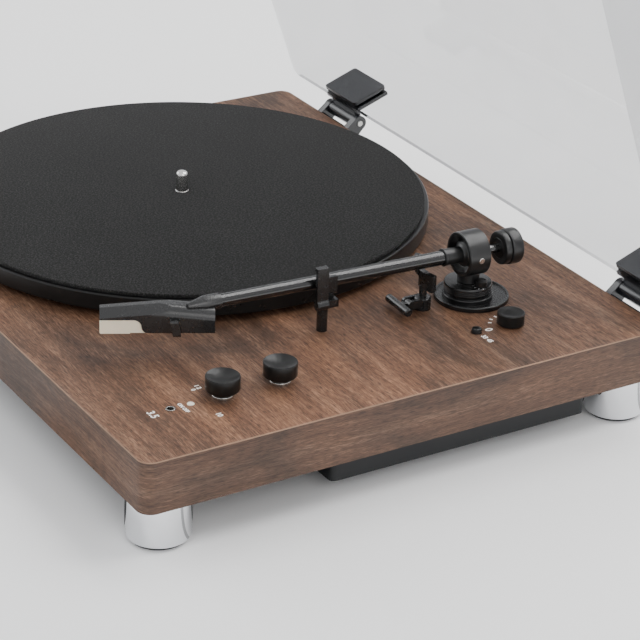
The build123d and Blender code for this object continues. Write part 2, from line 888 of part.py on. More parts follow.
def make_arm_tube():
    lean = Rot(0, 90, 0)
    middle = Pos(collar_reach + tube_run / 2, 0, 0)
    inner_root = tube_root_radius - tube_wall
    inner_tip = tube_tip_radius - tube_wall
    tube = middle * lean * Cone(tube_root_radius, tube_tip_radius, tube_run)
    tube += along(tube_root_radius, collar_reach - tube_into_collar, collar_reach)
    bore = middle * lean * Cone(inner_root, inner_tip, tube_run)
    bore += along(inner_root, collar_reach - tube_into_collar, collar_reach)
    return beam_frame * (tube - bore)


counterweight_start = force_dial_start + force_dial_length + seat
counterweight_end = counterweight_start + counterweight_length
shaft_reach = counterweight_end - counterweight_end_wall - counterweight_travel - seat


def make_counterweight_shaft():
    body = along(counterweight_shaft_radius, -shaft_reach, -ring_rear - 1.0 + shaft_into_block)
    return beam_frame * Pos(0, 0, -counterweight_drop) * body


def make_counterweight():
    body = along(counterweight_radius, -counterweight_end, -counterweight_start)
    body = chamfer(body.edges().filter_by(GeomType.CIRCLE), 0.9)
    body += along(counterweight_hub_radius, -counterweight_start - 1, -force_dial_start)
    bore = counterweight_shaft_radius + running
    body -= along(bore, -counterweight_end + counterweight_end_wall, -force_dial_start)
    return beam_frame * Pos(0, 0, -counterweight_drop) * body


def make_force_dial():
    start = force_dial_start
    body = along(force_dial_radius, -start - force_dial_length, -start)
    body = chamfer(body.edges().filter_by(GeomType.CIRCLE), 0.5)
    body -= along(counterweight_hub_radius + running, -start - force_dial_length, -start)
    return beam_frame * Pos(0, 0, -counterweight_drop) * body


# ================================================================ headshell
def roof_line(x):
    """The height of the shell's top strip, rising to the ridge at one slope."""
    climb = headshell_ridge_top - headshell_rear_top
    return headshell_rear_top + climb * x / headshell_ridge_at


def shell_form(inset):
    """A bar with rounded shoulders, its nose cut by three planes; inset gives its hollow."""
    half = headshell_half_width - inset
    low = headshell_bottom - (2.0 if inset else 0.0)
    end = headshell_length - inset
    side = Polyline(
        (inset, -half, low),
        (inset, -half, roof_line(inset) - inset),
        (end, -half, roof_line(end) - inset),
        (end, -half, low),
        close=True,
    )
    body = extrude(make_face(side), 2 * half, dir=(0, 1, 0))
    roof_edges = body.faces().sort_by(Axis.Z)[-1].edges().sort_by(SortBy.LENGTH)[-2:]
    body = fillet(roof_edges, headshell_shoulder - inset)
    strip = headshell_half_width - headshell_shoulder
    ridge = Vector(headshell_ridge_at, strip, headshell_ridge_top - inset)
    nose = Vector(headshell_length, strip, headshell_nose_top - inset)
    corner = Vector(headshell_length, headshell_half_width, headshell_facet_low - inset)
    ahead = nose - ridge
    for direction in (Vector(0, -1, 0), corner - nose):
        normal = ahead.cross(direction)
        if normal.Z < 0:
            normal = -normal
        for flip in (1, -1):
            origin = Vector(ridge.X, ridge.Y * flip, ridge.Z)
            plane = Plane(origin, x_dir=Vector(0, 0, 1).cross(normal), z_dir=(normal.X, normal.Y * flip, normal.Z))
            body = split(body, plane, keep=Keep.BOTTOM)
    return body


def nose_space(clearance):
    """The space under the nose, with a rounded inner corner."""
    top = nose_bottom - clearance
    low = headshell_bottom - 6
    wide = 2 * headshell_half_width + 2
    start = nose_start + clearance
    space = block(start, headshell_length + 5, -wide / 2, wide / 2, low, top)
    corner = space.edges().filter_by(Axis.Y).sort_by(Axis.X)[:2].sort_by(Axis.Z)[-1]
    return fillet(corner, nose_corner_radius)


def toe_space(clearance):
    """The space below the shell, with its front lower edge rounded off."""
    wide = 2 * headshell_half_width + 2
    start = nose_start + clearance
    low = headshell_bottom - clearance
    body = block(0, start, -wide / 2, wide / 2, low, headshell_bottom + 20)
    toe = body.edges().filter_by(Axis.Y).sort_by(Axis.X)[-2:].sort_by(Axis.Z)[0]
    body = fillet(toe, nose_toe_radius + clearance)
    return block(0, start, -wide, wide, low - 4, low + nose_toe_radius + 1) - body


def make_headshell():
    outer = shell_form(0) - nose_space(0) - toe_space(0)
    inner = shell_form(headshell_wall) - nose_space(0)
    nose_floor = nose_bottom + headshell_wall
    inner -= block(nose_start, headshell_length, -20, 20, 0, nose_floor)
    half = stylus_holder_half_width
    gate_end = nose_start + nose_corner_radius + 1
    gate = block(nose_start - 1, gate_end, -half, half, headshell_bottom - 1, nose_bottom)
    body = outer - inner - gate
    return shell_frame * body + make_neck() - tube_space()


def make_neck():
    start = headshell_reach - neck_lap
    radius = tube_tip_radius + neck_wall
    barrel = along(radius, start, start + neck_length)
    fairing = Cone(radius, radius * 0.4, neck_fairing)
    fairing = Pos(start + neck_length + neck_fairing / 2, 0, 0) * Rot(0, 90, 0) * fairing
    return beam_frame * (barrel + fairing)


def tube_space():
    return beam_frame * along(tube_tip_radius + 0.12, headshell_reach - neck_lap - 2, tube_reach)


def make_cartridge():
    half = headshell_half_width - headshell_wall - 0.6
    low = headshell_bottom + 1.0
    body = block(10, nose_start - 1.5, -half, half, low, 24.0)
    holder = Polyline(
        (stylus_holder_start, 0, low),
        (stylus_holder_end - 4, 0, low + 1.4),
        (stylus_holder_end, 0, low + 5.0),
        (stylus_holder_end, 0, nose_bottom),
        (stylus_holder_start, 0, nose_bottom),
        close=True,
    )
    wide = stylus_holder_half_width
    body += extrude(make_face(holder), wide, dir=(0, 1, 0), both=True)
    tip = headshell_length - stylus_from_front
    tip_low = guard_bottom + guard_step + guard_wall + seat
    rod = Polyline(
        (stylus_holder_end - 4, 0, low + 2.6),
        (tip + 0.4, 0, tip_low + 0.7),
        (tip, 0, tip_low),
        (tip - 0.5, 0, tip_low + 0.8),
        (stylus_holder_end - 4, 0, low + 1.8),
        close=True,
    )
    body += extrude(make_face(rod), 0.4, dir=(0, 1, 0), both=True)
    return shell_frame * body


def make_stylus_guard():
    end = headshell_length
    top = nose_bottom - 0.25
    half = guard_half_width
    body = block(guard_start, end, -half, half, guard_bottom, top)
    body = fillet(body.edges().filter_by(Axis.Z).sort_by(Axis.X)[-2:], 1.2)
    step = block(guard_start - 1, guard_step_at, -half - 1, half + 1, guard_bottom - 1,
                 guard_bottom + guard_step)
    body -= step
    rear = block(guard_start, nose_start + seat, -half, half, guard_bottom, headshell_bottom + 5)
    body = (body & nose_space(seat)) + (body & rear & toe_space(seat))
    half = guard_half_width - guard_wall
    floor = guard_bottom + guard_step + guard_wall
    hollow = block(nose_start, end - guard_wall, -half, half, floor, top + 1)
    return shell_frame * (body - hollow)


def make_finger_lift():
    x0 = finger_lift_at - finger_lift_width / 2
    x1 = finger_lift_at + finger_lift_width / 2
    side = headshell_half_width
    out = side + finger_lift_out
    thick = finger_lift_thickness
    body = block(x0, x1, side, out, finger_lift_root - thick, finger_lift_root)
    drop = finger_lift_root - finger_lift_tip
    section = Pos(finger_lift_at, out - thick / 2, finger_lift_root) * Rectangle(finger_lift_width, thick)
    body += extrude(section, math.hypot(drop, finger_lift_lean), dir=(-finger_lift_lean, 0, -drop))
    top_edges = body.faces().sort_by(Axis.Z)[-1].edges().filter_by(Axis.X)
    return shell_frame * chamfer(top_edges.sort_by(Axis.Y)[-1], thick * 0.6)


# ================================================================ arm rest
def tube_radius_at(reach):
    share = (reach - collar_reach) / tube_run
    return tube_root_radius + (tube_tip_radius - tube_root_radius) * share


clip_side = tube_radius_at(rest_from_pivot) + rest_gap + clip_lip
clip_pivot_height = rest_axis_height - clip_drop
cradle_end = rest_from_pivot + 0.4
clip_start = cradle_end + seat


def make_arm_rest():
    post = upright(rest_post_radius, 0, rest_post_height)
    post += upright(rest_post_radius - 1, -10, 0)
    post = Pos(rest_from_pivot, rest_post_side, 0) * post
    inner = tube_radius_at(rest_from_pivot) + rest_gap
    outer = inner + rest_cradle_wall
    floor = rest_axis_height - inner
    underside = floor - rest_cradle_wall
    start = cradle_end - rest_cradle_length
    cradle = block(start, cradle_end, -outer, outer, underside, rest_axis_height + rest_wall_rise)
    low_edges = cradle.edges().filter_by(Axis.X).sort_by(Axis.Z)[:2]
    cradle = fillet(low_edges, rest_cradle_wall)
    well_top = rest_axis_height + rest_wall_rise + 1
    well = block(start - 1, cradle_end + 1, -outer - 1, inner, floor, well_top)
    corner = well.edges().filter_by(Axis.X).sort_by(Axis.Z)[:2].sort_by(Axis.Y)[-1]
    cradle -= fillet(corner, rest_corner_radius)
    saddle = block(start, cradle_end, -outer + rest_cradle_wall, 3.0, rest_post_height - 2.0,
                   underside + 1.0)
    pin = Pos(0, clip_side + clip_thickness / 2, clip_pivot_height) * along(
        clip_pin_radius, start, clip_start + clip_width)
    bridge = block(start, cradle_end, 1.0, clip_side + clip_thickness / 2 + 1.6,
                   clip_pivot_height - 2.2, clip_pivot_height + 2.2)
    body = post + cradle + saddle + bridge + pin
    return arm_frame * body


def make_rest_clip():
    y0 = clip_side
    y1 = clip_side + clip_thickness
    start = clip_start
    end = clip_start + clip_width - seat
    plate = block(start, end, y0, y1, clip_pivot_height, clip_top)
    lip = block(start, end, y0 - clip_lip + 0.1, y1, clip_top - 3.0, clip_top)
    plate += lip
    middle = (y0 + y1) / 2
    plate += Pos(0, middle, clip_pivot_height) * along(clip_knuckle_radius, start, end)
    plate -= Pos(0, middle, clip_pivot_height) * along(clip_pin_radius + running, start - 1, end + 1)
    return arm_frame * plate


# ================================================================ cueing
lift_reach_rise = lift_radius * math.tan(math.radians(arm_rise))
lift_top = arm_axis_height + lift_reach_rise - tube_root_radius - lift_rest_gap
lift_low = lift_top - lift_bar_height
lift_travel = lift_rest_gap - lift_gap + lift_radius * math.sin(math.radians(arm_lift_angle))
plunger_low = -cue_stem_length + 3.5


def make_cue_housing():
    hub = upright(cue_hub_radius, 0, cue_hub_height)
    hub = chamfer(hub.faces().sort_by(Axis.Z)[-1].edges(), 0.7)
    for k in range(12):
        turn = math.radians(30 * k)
        rib_x = cue_hub_radius * math.cos(turn)
        rib_y = cue_hub_radius * math.sin(turn)
        hub -= upright(0.7, 1.2, cue_hub_height - 1.6, rib_x, rib_y)
    hub += upright(cue_stem_radius, -cue_stem_length, 0)
    cheek_y = cue_knuckle_width / 2 + 0.1
    for side in (-1, 1):
        y = side * (cheek_y + cue_cheek_thickness / 2)
        cheek = across(cue_cheek_radius, cue_cheek_thickness / 2, cue_pivot_forward,
                       cue_pivot_height, y)
        cheek += Pos(cue_pivot_forward / 2, y, cue_pivot_height) * Box(
            cue_pivot_forward, cue_cheek_thickness, 2 * cue_cheek_radius)
        hub += cheek
    half = cheek_y + cue_cheek_thickness
    hub += across(cue_pin_radius, half, cue_pivot_forward, cue_pivot_height)
    hub -= upright(plunger_radius + running, plunger_low - 0.4, cue_hub_height)
    return arm_frame * Pos(lift_radius, 0, 0) * hub


def make_cue_lever():
    half = cue_knuckle_width / 2 - 0.2
    knuckle = across(2.2, half, cue_pivot_forward, cue_pivot_height)
    stem = block(cue_pivot_forward, cue_pivot_forward + cue_handle_forward, -half, half,
                 cue_pivot_height - 1.1, cue_pivot_height + 1.1)
    handle_x = cue_pivot_forward + cue_handle_forward
    handle = across(cue_handle_radius, cue_handle_length / 2, handle_x, cue_pivot_height)
    handle = chamfer(handle.edges().filter_by(GeomType.CIRCLE), 0.5)
    body = knuckle + stem + handle
    body -= across(cue_pin_radius + running, half + 1, cue_pivot_forward, cue_pivot_height)
    return arm_frame * Pos(lift_radius, 0, 0) * body


def sector(low, start, end):
    """A part of the lift bar's arc from one angle to another, in degrees."""
    inner = lift_radius - lift_thickness / 2
    outer = lift_radius + lift_thickness / 2
    arc = upright(outer, low, lift_top) - upright(inner, low, lift_top)
    reach = outer * 2
    middle = (start + end) / 2
    corners = [(0, 0)]
    for angle in (start, middle, end):
        turn = math.radians(angle)
        corners.append((reach * math.cos(turn), reach * math.sin(turn)))
    wedge = Pos(0, 0, low) * extrude(make_face(Polyline(*corners, close=True)), lift_top - low)
    return arc & wedge


def make_lift_bar():
    bar = sector(lift_low, -lift_plate_span, lift_right_span)
    bar += sector(lift_top - lift_strip_height, -lift_left_span, -lift_plate_span)
    bar += upright(plunger_radius, plunger_low, lift_low + 1, lift_radius, 0)
    return arm_frame * bar


# ================================================================ dust cover
hinge_y = back_y + hinge_axis_behind
hinge_z = plinth_top + hinge_axis_above
cover_low = plinth_top + cover_rest_gap
hinge_places = {
    "left": left_x + left_hinge_from_left,
    "right": right_x - right_hinge_from_right,
}


def opened(shape):
    """Turn a closed-cover shape about the hinge axis to the stored open pose."""
    swing = Pos(0, hinge_y, hinge_z) * Rot(-cover_open_angle, 0, 0) * Pos(0, -hinge_y, -hinge_z)
    return swing * shape


def make_dust_cover():
    width = plinth_width - 2 * cover_inset
    depth = plinth_depth - cover_inset
    shell = Box(width, depth, cover_height)
    shell = fillet(shell.edges().filter_by(Axis.Z), cover_corner_radius)
    shell = fillet(shell.faces().sort_by(Axis.Z)[-1].edges(), cover_top_radius)
    inside = Box(width - 2 * cover_wall, depth - 2 * cover_wall, cover_height)
    inside = fillet(inside.edges().filter_by(Axis.Z), cover_corner_radius - cover_wall)
    shell -= Pos(0, 0, -cover_wall) * inside
    middle_y = back_y - depth / 2
    return opened(Pos(plinth_mid_x, middle_y, cover_low + cover_height / 2) * shell)


def make_hinge_leaves():
    leaves = []
    half = hinge_width / 2
    inner_half = half - hinge_ear_thickness - seat
    top = cover_low + hinge_leaf_height
    for x in hinge_places.values():
        outer_plate = block(x - half, x + half, back_y, back_y + hinge_leaf_thickness,
                            cover_low + 0.5, top)
        web = block(x - inner_half, x + inner_half, back_y, hinge_y, cover_low + 1.0,
                    hinge_z + hinge_ear_radius)
        barrel = Pos(x, hinge_y, hinge_z) * Rot(0, 90, 0) * Cylinder(
            hinge_ear_radius - 0.4, 2 * inner_half)
        leaf = outer_plate + web + barrel
        leaf -= Pos(x, hinge_y, hinge_z) * Rot(0, 90, 0) * Cylinder(
            hinge_pin_radius + running, hinge_width + 2)
        leaves.append(opened(leaf))
        wall_inner = back_y - cover_wall
        clamp = block(x - half, x + half, wall_inner - hinge_leaf_thickness, wall_inner,
                      cover_low + 0.5, top)
        clamp = fillet(clamp.edges().filter_by(Axis.Y), 2.0)
        leaves.append(opened(clamp))
    return leaves


def make_hinge_bracket(x):
    half = hinge_width / 2
    top = plinth_top - 1.5
    plate = block(x - half, x + half, back_y, back_y + hinge_plate_thickness,
                  top - hinge_plate_drop, top)
    for side in (-1, 1):
        x0 = x + side * (half - hinge_ear_thickness / 2)
        ear = Pos(x0, hinge_y, hinge_z) * Rot(0, 90, 0) * Cylinder(
            hinge_ear_radius, hinge_ear_thickness)
        outline = Polyline(
            (x0, back_y, top),
            (x0, back_y, top - hinge_plate_drop * 0.7),
            (x0, hinge_y + hinge_ear_radius * 0.9, hinge_z - hinge_ear_radius * 0.43),
            (x0, hinge_y - hinge_ear_radius * 0.4, hinge_z + hinge_ear_radius * 0.9),
            close=True,
        )
        web = extrude(make_face(outline), hinge_ear_thickness / 2, dir=(1, 0, 0), both=True)
        plate += ear + web
    plate -= Pos(x, hinge_y, hinge_z) * Rot(0, 90, 0) * Cylinder(hinge_pin_radius, hinge_width + 2)
    return plate


def make_hinge_pins():
    pins = []
    for x in hinge_places.values():
        pins.append(Pos(x, hinge_y, hinge_z) * Rot(0, 90, 0) * Cylinder(
            hinge_pin_radius, hinge_width + 1.2))
    return pins


# ================================================================ write every piece
def grouped(solids):
    return Compound(children=[s.solid() if hasattr(s, "solid") else s for s in solids])


pieces = {
    "plinth": make_plinth(),
    "base_board": make_base_board(),
    "foot_pads": grouped(make_foot_pads()),
    "under_tray": make_under_tray(),
    "amplifier_board": grouped(make_amplifier_board()),
    "dc_inlet": make_dc_inlet(),
    "line_out_sockets": grouped(make_line_out_sockets()),
    "speaker_terminals": grouped(make_speaker_terminals()),
    "case_screws": grouped(make_case_screws()),
    "platter": make_platter(),
    "mat": make_mat(),
    "sub_platter": make_sub_platter(),
    "spindle": make_spindle(),
    "bearing_housing": make_bearing_housing(),
    "thrust_ball": make_thrust_ball(),
    "motor_can": make_motor_can(),
    "motor_plate": make_motor_plate(),
    "motor_grommets": grouped(make_motor_grommets()),
    "motor_shaft": make_motor_shaft(),
    "motor_pulley": make_motor_pulley(),
    "drive_belt": make_drive_belt(),
    "knob_collars": grouped(make_knob_collars()),
    "potentiometers": grouped(make_potentiometers()),
    "start_button": make_start_button(),
    "button_switch": make_button_switch(),
    "headphone_socket": make_headphone_socket(),
    "power_light": make_power_light(),
    "arm_base": make_arm_base(),
    "arm_tower": make_arm_tower(),
    "arm_nut": make_arm_nut(),
    "antiskate_dial": make_antiskate_dial(),
    "gimbal_ring": make_gimbal_ring(),
    "pivot_screws": grouped(make_pivot_screws()),
    "bearing_block": make_bearing_block(),
    "arm_tube": make_arm_tube(),
    "counterweight_shaft": make_counterweight_shaft(),
    "counterweight": make_counterweight(),
    "force_dial": make_force_dial(),
    "headshell": make_headshell(),
    "cartridge": make_cartridge(),
    "stylus_guard": make_stylus_guard(),
    "finger_lift": make_finger_lift(),
    "arm_rest": make_arm_rest(),
    "rest_clip": make_rest_clip(),
    "cue_housing": make_cue_housing(),
    "cue_lever": make_cue_lever(),
    "lift_bar": make_lift_bar(),
    "dust_cover": make_dust_cover(),
    "hinge_leaves": grouped(make_hinge_leaves()),
    "hinge_pins": grouped(make_hinge_pins()),
}

for place, (foot_x, foot_y) in foot_places().items():
    pieces[f"foot_{place}"] = make_foot(foot_x, foot_y)

for place, hinge_x in hinge_places.items():
    pieces[f"hinge_bracket_{place}"] = make_hinge_bracket(hinge_x)

knob_bottom = collar_height + seat
pieces["volume_knob"] = make_control_knob(
    volume_from_front, knob_radius, knob_bottom, knob_height, knob_dish_depth, knob_foot_chamfer)
pieces["tone_knob"] = make_control_knob(
    tone_from_front, knob_radius, knob_bottom, knob_height, knob_dish_depth, knob_foot_chamfer)
pieces["speed_knob"] = make_control_knob(
    speed_from_front, speed_knob_radius, seat, speed_knob_height, speed_knob_dish_depth, 0.5)

os.makedirs("parts", exist_ok=True)
for name, shape in pieces.items():
    export_step(shape, f"parts/{name}.step")
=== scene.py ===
import bpy
import bmesh
import json
import math
from mathutils import Matrix, Vector


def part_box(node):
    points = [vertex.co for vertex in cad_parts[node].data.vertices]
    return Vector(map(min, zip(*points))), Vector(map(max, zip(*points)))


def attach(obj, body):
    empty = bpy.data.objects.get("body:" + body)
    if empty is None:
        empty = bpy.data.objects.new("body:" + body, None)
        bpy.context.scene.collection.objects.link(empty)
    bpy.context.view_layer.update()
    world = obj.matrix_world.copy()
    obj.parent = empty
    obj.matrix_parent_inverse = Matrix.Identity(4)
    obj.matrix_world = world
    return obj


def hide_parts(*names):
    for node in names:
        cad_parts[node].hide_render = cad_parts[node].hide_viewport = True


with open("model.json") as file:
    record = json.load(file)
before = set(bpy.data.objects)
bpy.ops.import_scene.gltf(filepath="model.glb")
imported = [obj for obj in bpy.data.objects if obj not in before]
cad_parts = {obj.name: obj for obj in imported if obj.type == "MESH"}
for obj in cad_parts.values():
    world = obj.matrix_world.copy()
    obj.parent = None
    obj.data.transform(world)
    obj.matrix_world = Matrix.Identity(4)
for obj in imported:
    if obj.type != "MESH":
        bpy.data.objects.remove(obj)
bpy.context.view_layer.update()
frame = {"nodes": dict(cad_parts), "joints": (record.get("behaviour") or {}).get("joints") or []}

# ------------------------------------------------------------ room, lights and camera
# A white table in a soft studio: one large light overhead and behind, one broad light
# from the left and a gentle fill from the right. Dark strips on the table, which only
# reflections show, draw upright bands in the chrome feet.
mm = 0.001
floor_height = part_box("foot_pads")[0].z


def shown(name, data):
    piece = bpy.data.objects.new(name, data)
    bpy.context.scene.collection.objects.link(piece)
    return piece


def studio_light(name, place, width, depth, power, tint):
    data = bpy.data.lights.new(name, "AREA")
    data.shape = "RECTANGLE"
    data.size = width
    data.size_y = depth
    data.energy = power
    data.color = tint
    lamp = shown(name, data)
    lamp.location = place
    lamp.rotation_mode = "QUATERNION"
    lamp.rotation_quaternion = (-Vector(place)).to_track_quat("-Z", "Y")


def plain_board(name, corners, shade, roughness=0.9):
    mesh = bpy.data.meshes.new(name)
    mesh.from_pydata(corners, [], [(0, 1, 2, 3)])
    finish = bpy.data.materials.new(name)
    finish.use_nodes = True
    shader = finish.node_tree.nodes["Principled BSDF"]
    shader.inputs["Base Color"].default_value = (shade, shade, shade, 1)
    shader.inputs["Roughness"].default_value = roughness
    mesh.materials.append(finish)
    board = shown(name, mesh)
    return board


studio_light("overhead_softbox", (0.1, 0.95, 1.4), width=1.6, depth=1.1, power=32, tint=(1.0, 0.99, 0.97))
studio_light("left_softbox", (-1.5, -0.9, 0.9), width=1.1, depth=1.1, power=9, tint=(0.97, 0.99, 1.0))
studio_light("right_fill", (1.6, -0.2, 0.75), width=0.9, depth=0.9, power=5, tint=(1.0, 0.98, 0.96))

room = bpy.data.worlds.new("white_room")
bpy.context.scene.world = room
room.use_nodes = True
room_light = room.node_tree.nodes["Background"]
room_light.inputs["Color"].default_value = (0.95, 0.96, 0.98, 1)
room_light.inputs["Strength"].default_value = 1.0

table_reach = 8
table_corners = [(table_reach * x, table_reach * y, floor_height)
                 for x, y in ((-1, -1), (1, -1), (1, 1), (-1, 1))]
plain_board("white_table", table_corners, 1.0)
strip_start = 0.0185
strip_end = 0.15
strip_lift = 0.0005
for node in ("foot_front_right", "foot_back_right"):
    low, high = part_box(node)
    centre = Vector(((low.x + high.x) / 2, (low.y + high.y) / 2, floor_height + strip_lift))
    for bearing, spread, shade in ((-158, 13, 0.10), (45, 5, 0.45), (104, 7, 0.06)):
        corners = []
        for reach, side in ((strip_start, -1), (strip_start, 1), (strip_end, 1), (strip_end, -1)):
            turn = math.radians(bearing + side * spread)
            corners.append(centre + Vector((math.cos(turn), math.sin(turn), 0)) * reach)
        strip = plain_board(f"{node}_strip_{bearing}", corners, shade)
        for ray in ("camera", "shadow", "diffuse", "transmission"):
            setattr(strip, f"visible_{ray}", False)

picture_width = 640
focal_pixels = 2485.2
centre_shift_pixels = 0.5
film_width = 36
eye = Vector((1.22146, -0.66613, 0.59642))
heading = math.radians(57.826)
tilt = math.radians(26.144)
lean = math.radians(2.0)
back_axis = Vector((math.sin(heading) * math.cos(tilt), -math.cos(heading) * math.cos(tilt),
                    math.sin(tilt)))
level_right = Vector((math.cos(heading), math.sin(heading), 0))
level_up = back_axis.cross(level_right)
right_axis = level_right * math.cos(lean) + level_up * math.sin(lean)
up_axis = level_up * math.cos(lean) - level_right * math.sin(lean)
lens = bpy.data.cameras.new("studio_camera")
lens.sensor_width = film_width
lens.lens = focal_pixels / picture_width * film_width
lens.shift_y = centre_shift_pixels / picture_width
lens.clip_end = 50
camera = shown("studio_camera", lens)
camera.matrix_world = Matrix((
    (right_axis.x, up_axis.x, back_axis.x, eye.x),
    (right_axis.y, up_axis.y, back_axis.y, eye.y),
    (right_axis.z, up_axis.z, back_axis.z, eye.z),
    (0, 0, 0, 1)))
bpy.context.scene.camera = camera


# ------------------------------------------------------------ slab
# A 30 mm fibreboard slab wrapped in walnut veneer. The leaf on top runs from side to
# side, the leaf round the sides runs along each edge, and the eased edge joins them. The
# sides carry painted shade, and the eased edge a paler painted highlight.
def new_finish(name):
    finish = bpy.data.materials.new(name)
    finish.use_nodes = True
    tree = finish.node_tree
    return finish, tree, tree.nodes["Principled BSDF"]


def put(tree, kind, values=None, **settings):
    node = tree.nodes.new(kind)
    for key, value in settings.items():
        setattr(node, key, value)
    for key, value in (values or {}).items():
        node.inputs[key].default_value = value
    return node


def wire(tree, source, socket, target, name):
    tree.links.new(source.outputs[socket], target.inputs[name])


def sums(tree, operation, first, second):
    """A Math node; each operand is a number or a (node, socket) pair."""
    node = put(tree, "ShaderNodeMath", operation=operation)
    for slot, operand in ((0, first), (1, second)):
        if isinstance(operand, tuple):
            wire(tree, *operand, node, slot)
        else:
            node.inputs[slot].default_value = operand
    return node, 0


def products(tree, *terms):
    """The sum of several products; each term is two operands of a Math node."""
    total = sums(tree, "MULTIPLY", *terms[0])
    for term in terms[1:]:
        total = sums(tree, "ADD", total, sums(tree, "MULTIPLY", *term))
    return total


def gathered(tree, *parts):
    """One vector from three (node, socket) pairs."""
    node = put(tree, "ShaderNodeCombineXYZ")
    for axis, part in zip("XYZ", parts):
        wire(tree, *part, node, axis)
    return node, "Vector"


def tuned(node, **constants):
    """Sets a node's inputs by name, with underscores for spaces."""
    for key, value in constants.items():
        node.inputs[key.replace("_", " ")].default_value = value


def speckle(tree, vector, scale, detail=3.0, rough=0.55, distortion=0.0):
    node = put(tree, "ShaderNodeTexNoise", {"Scale": scale, "Detail": detail, "Roughness": rough,
                                           "Distortion": distortion})
    wire(tree, *vector, node, "Vector")
    return node, "Fac"


def ramp(tree, source, stops):
    node = put(tree, "ShaderNodeValToRGB")
    while len(node.color_ramp.elements) < len(stops):
        node.color_ramp.elements.new(0.5)
    for element, (place, shade) in zip(node.color_ramp.elements, stops):
        element.position = place
        element.color = (*shade, 1) if isinstance(shade, tuple) else (shade, shade, shade, 1)
    wire(tree, *source, node, "Fac")
    return node, "Color"


def blended(tree, mode, amount, first, second):
    """A colour Mix node; amount is a number or a pair, each colour a tuple of 3 or a pair."""
    node = put(tree, "ShaderNodeMix", data_type="RGBA", blend_type=mode)
    if isinstance(amount, tuple):
        wire(tree, *amount, node, 0)
    else:
        node.inputs[0].default_value = amount
    for slot, colour in ((6, first), (7, second)):
        if len(colour) == 2:
            wire(tree, *colour, node, slot)
        else:
            node.inputs[slot].default_value = (*colour, 1)
    return node, 2


def stretched(tree, vector, x, y, z):
    node = put(tree, "ShaderNodeMapping", {"Scale": (x, y, z)})
    wire(tree, *vector, node, "Vector")
    return node, "Vector"


def raised(tree, shader, height, depth, strength=1.0):
    node = put(tree, "ShaderNodeBump", {"Strength": strength, "Distance": depth})
    wire(tree, *height, node, "Height")
    wire(tree, node, "Normal", shader, "Normal")


walnut, tree, shader = new_finish("walnut_veneer")
place = put(tree, "ShaderNodeTexCoord")
spot = put(tree, "ShaderNodeSeparateXYZ")
wire(tree, place, "Object", spot, 0)
facing = put(tree, "ShaderNodeSeparateXYZ")
wire(tree, put(tree, "ShaderNodeNewGeometry"), "Normal", facing, 0)
upward = sums(tree, "ABSOLUTE", (facing, "Z"), 0)
on_top = sums(tree, "GREATER_THAN", upward, 0.9)
on_side = sums(tree, "LESS_THAN", upward, 0.3)
on_edge = sums(tree, "SUBTRACT", sums(tree, "SUBTRACT", 1.0, on_top), on_side)
off_top = sums(tree, "SUBTRACT", 1.0, on_top)
round_side = sums(tree, "ADD", (spot, "X"), (spot, "Y"))
run = products(tree, (on_top, (spot, "X")), (off_top, round_side))
cross = products(tree, (on_top, (spot, "Y")), (off_top, (spot, "Z")))
leaf = gathered(tree, run, cross, on_side)
sway_reach = 0.022
small_sway_reach = 0.0022
sway = speckle(tree, stretched(tree, leaf, 3.5, 9, 1), 1.0, detail=1.0)
small_sway = speckle(tree, stretched(tree, leaf, 18, 60, 1), 1.0, detail=2.0)
swayed = products(tree, (cross, 1.0), (sway, sway_reach), (small_sway, small_sway_reach))
grain = gathered(tree, run, swayed, on_side)
broad_bands = speckle(tree, stretched(tree, grain, 4.0, 75, 7), 1.0, detail=3.0, rough=0.6)
fine_bands = speckle(tree, stretched(tree, grain, 34, 520, 7), 1.0, detail=4.0, rough=0.72)
hair_lines = speckle(tree, stretched(tree, grain, 170, 1500, 7), 1.0, detail=3.0, rough=0.7)
pore_lines = speckle(tree, stretched(tree, grain, 190, 2300, 3), 1.0, detail=1.0, rough=0.5)
blotches = speckle(tree, stretched(tree, leaf, 8, 15, 1), 1.0, detail=5.0, rough=0.62, distortion=1.2)
warm_spots = speckle(tree, stretched(tree, leaf, 6, 11, 5), 1.0, detail=3.0, rough=0.55, distortion=0.6)
tone = products(tree, (broad_bands, 0.30), (fine_bands, 0.33), (hair_lines, 0.37))
wood_colour = ramp(tree, tone, [(0.40, (0.080, 0.038, 0.022)), (0.465, (0.136, 0.067, 0.039)),
                                (0.525, (0.205, 0.106, 0.062)), (0.60, (0.350, 0.205, 0.132))])
warmth = ramp(tree, warm_spots, [(0.42, (0.86, 0.83, 0.80)), (0.60, (1.18, 1.08, 0.98))])
wood_colour = blended(tree, "MULTIPLY", 0.9, wood_colour, warmth)
smoke = ramp(tree, blotches, [(0.38, (0.42, 0.46, 0.50)), (0.48, (0.82, 0.84, 0.86)),
                              (0.57, (1.0, 1.0, 1.0))])
wood_colour = blended(tree, "MULTIPLY", 0.9, wood_colour, smoke)
pores = ramp(tree, pore_lines, [(0.38, 0.30), (0.47, 1.0)])
wood_colour = blended(tree, "MULTIPLY", 0.75, wood_colour, pores)
# The sides are painted darker than the top: painted shade, for the light that falls less on them.
painted_shade_side_colour = blended(tree, "MIX", 0.5, wood_colour, (0.062, 0.044, 0.036))
wood_colour = blended(tree, "MIX", on_side, wood_colour, painted_shade_side_colour)
# The eased edge is painted paler: a painted highlight along the arris.
painted_highlight_edge_share = sums(tree, "MULTIPLY", on_edge, 0.6)
wood_colour = blended(tree, "MIX", painted_highlight_edge_share, wood_colour, (0.38, 0.24, 0.155))
wire(tree, *wood_colour, shader, "Base Color")
lacquer = ramp(tree, fine_bands, [(0.3, 0.56), (0.7, 0.46)])
wire(tree, *lacquer, shader, "Roughness")
tuned(shader, Specular_IOR_Level=0.32)
grain_relief = 0.00006
grooves = products(tree, (hair_lines, 0.35), (pores, 1.0))
raised(tree, shader, grooves, grain_relief, strength=0.5)


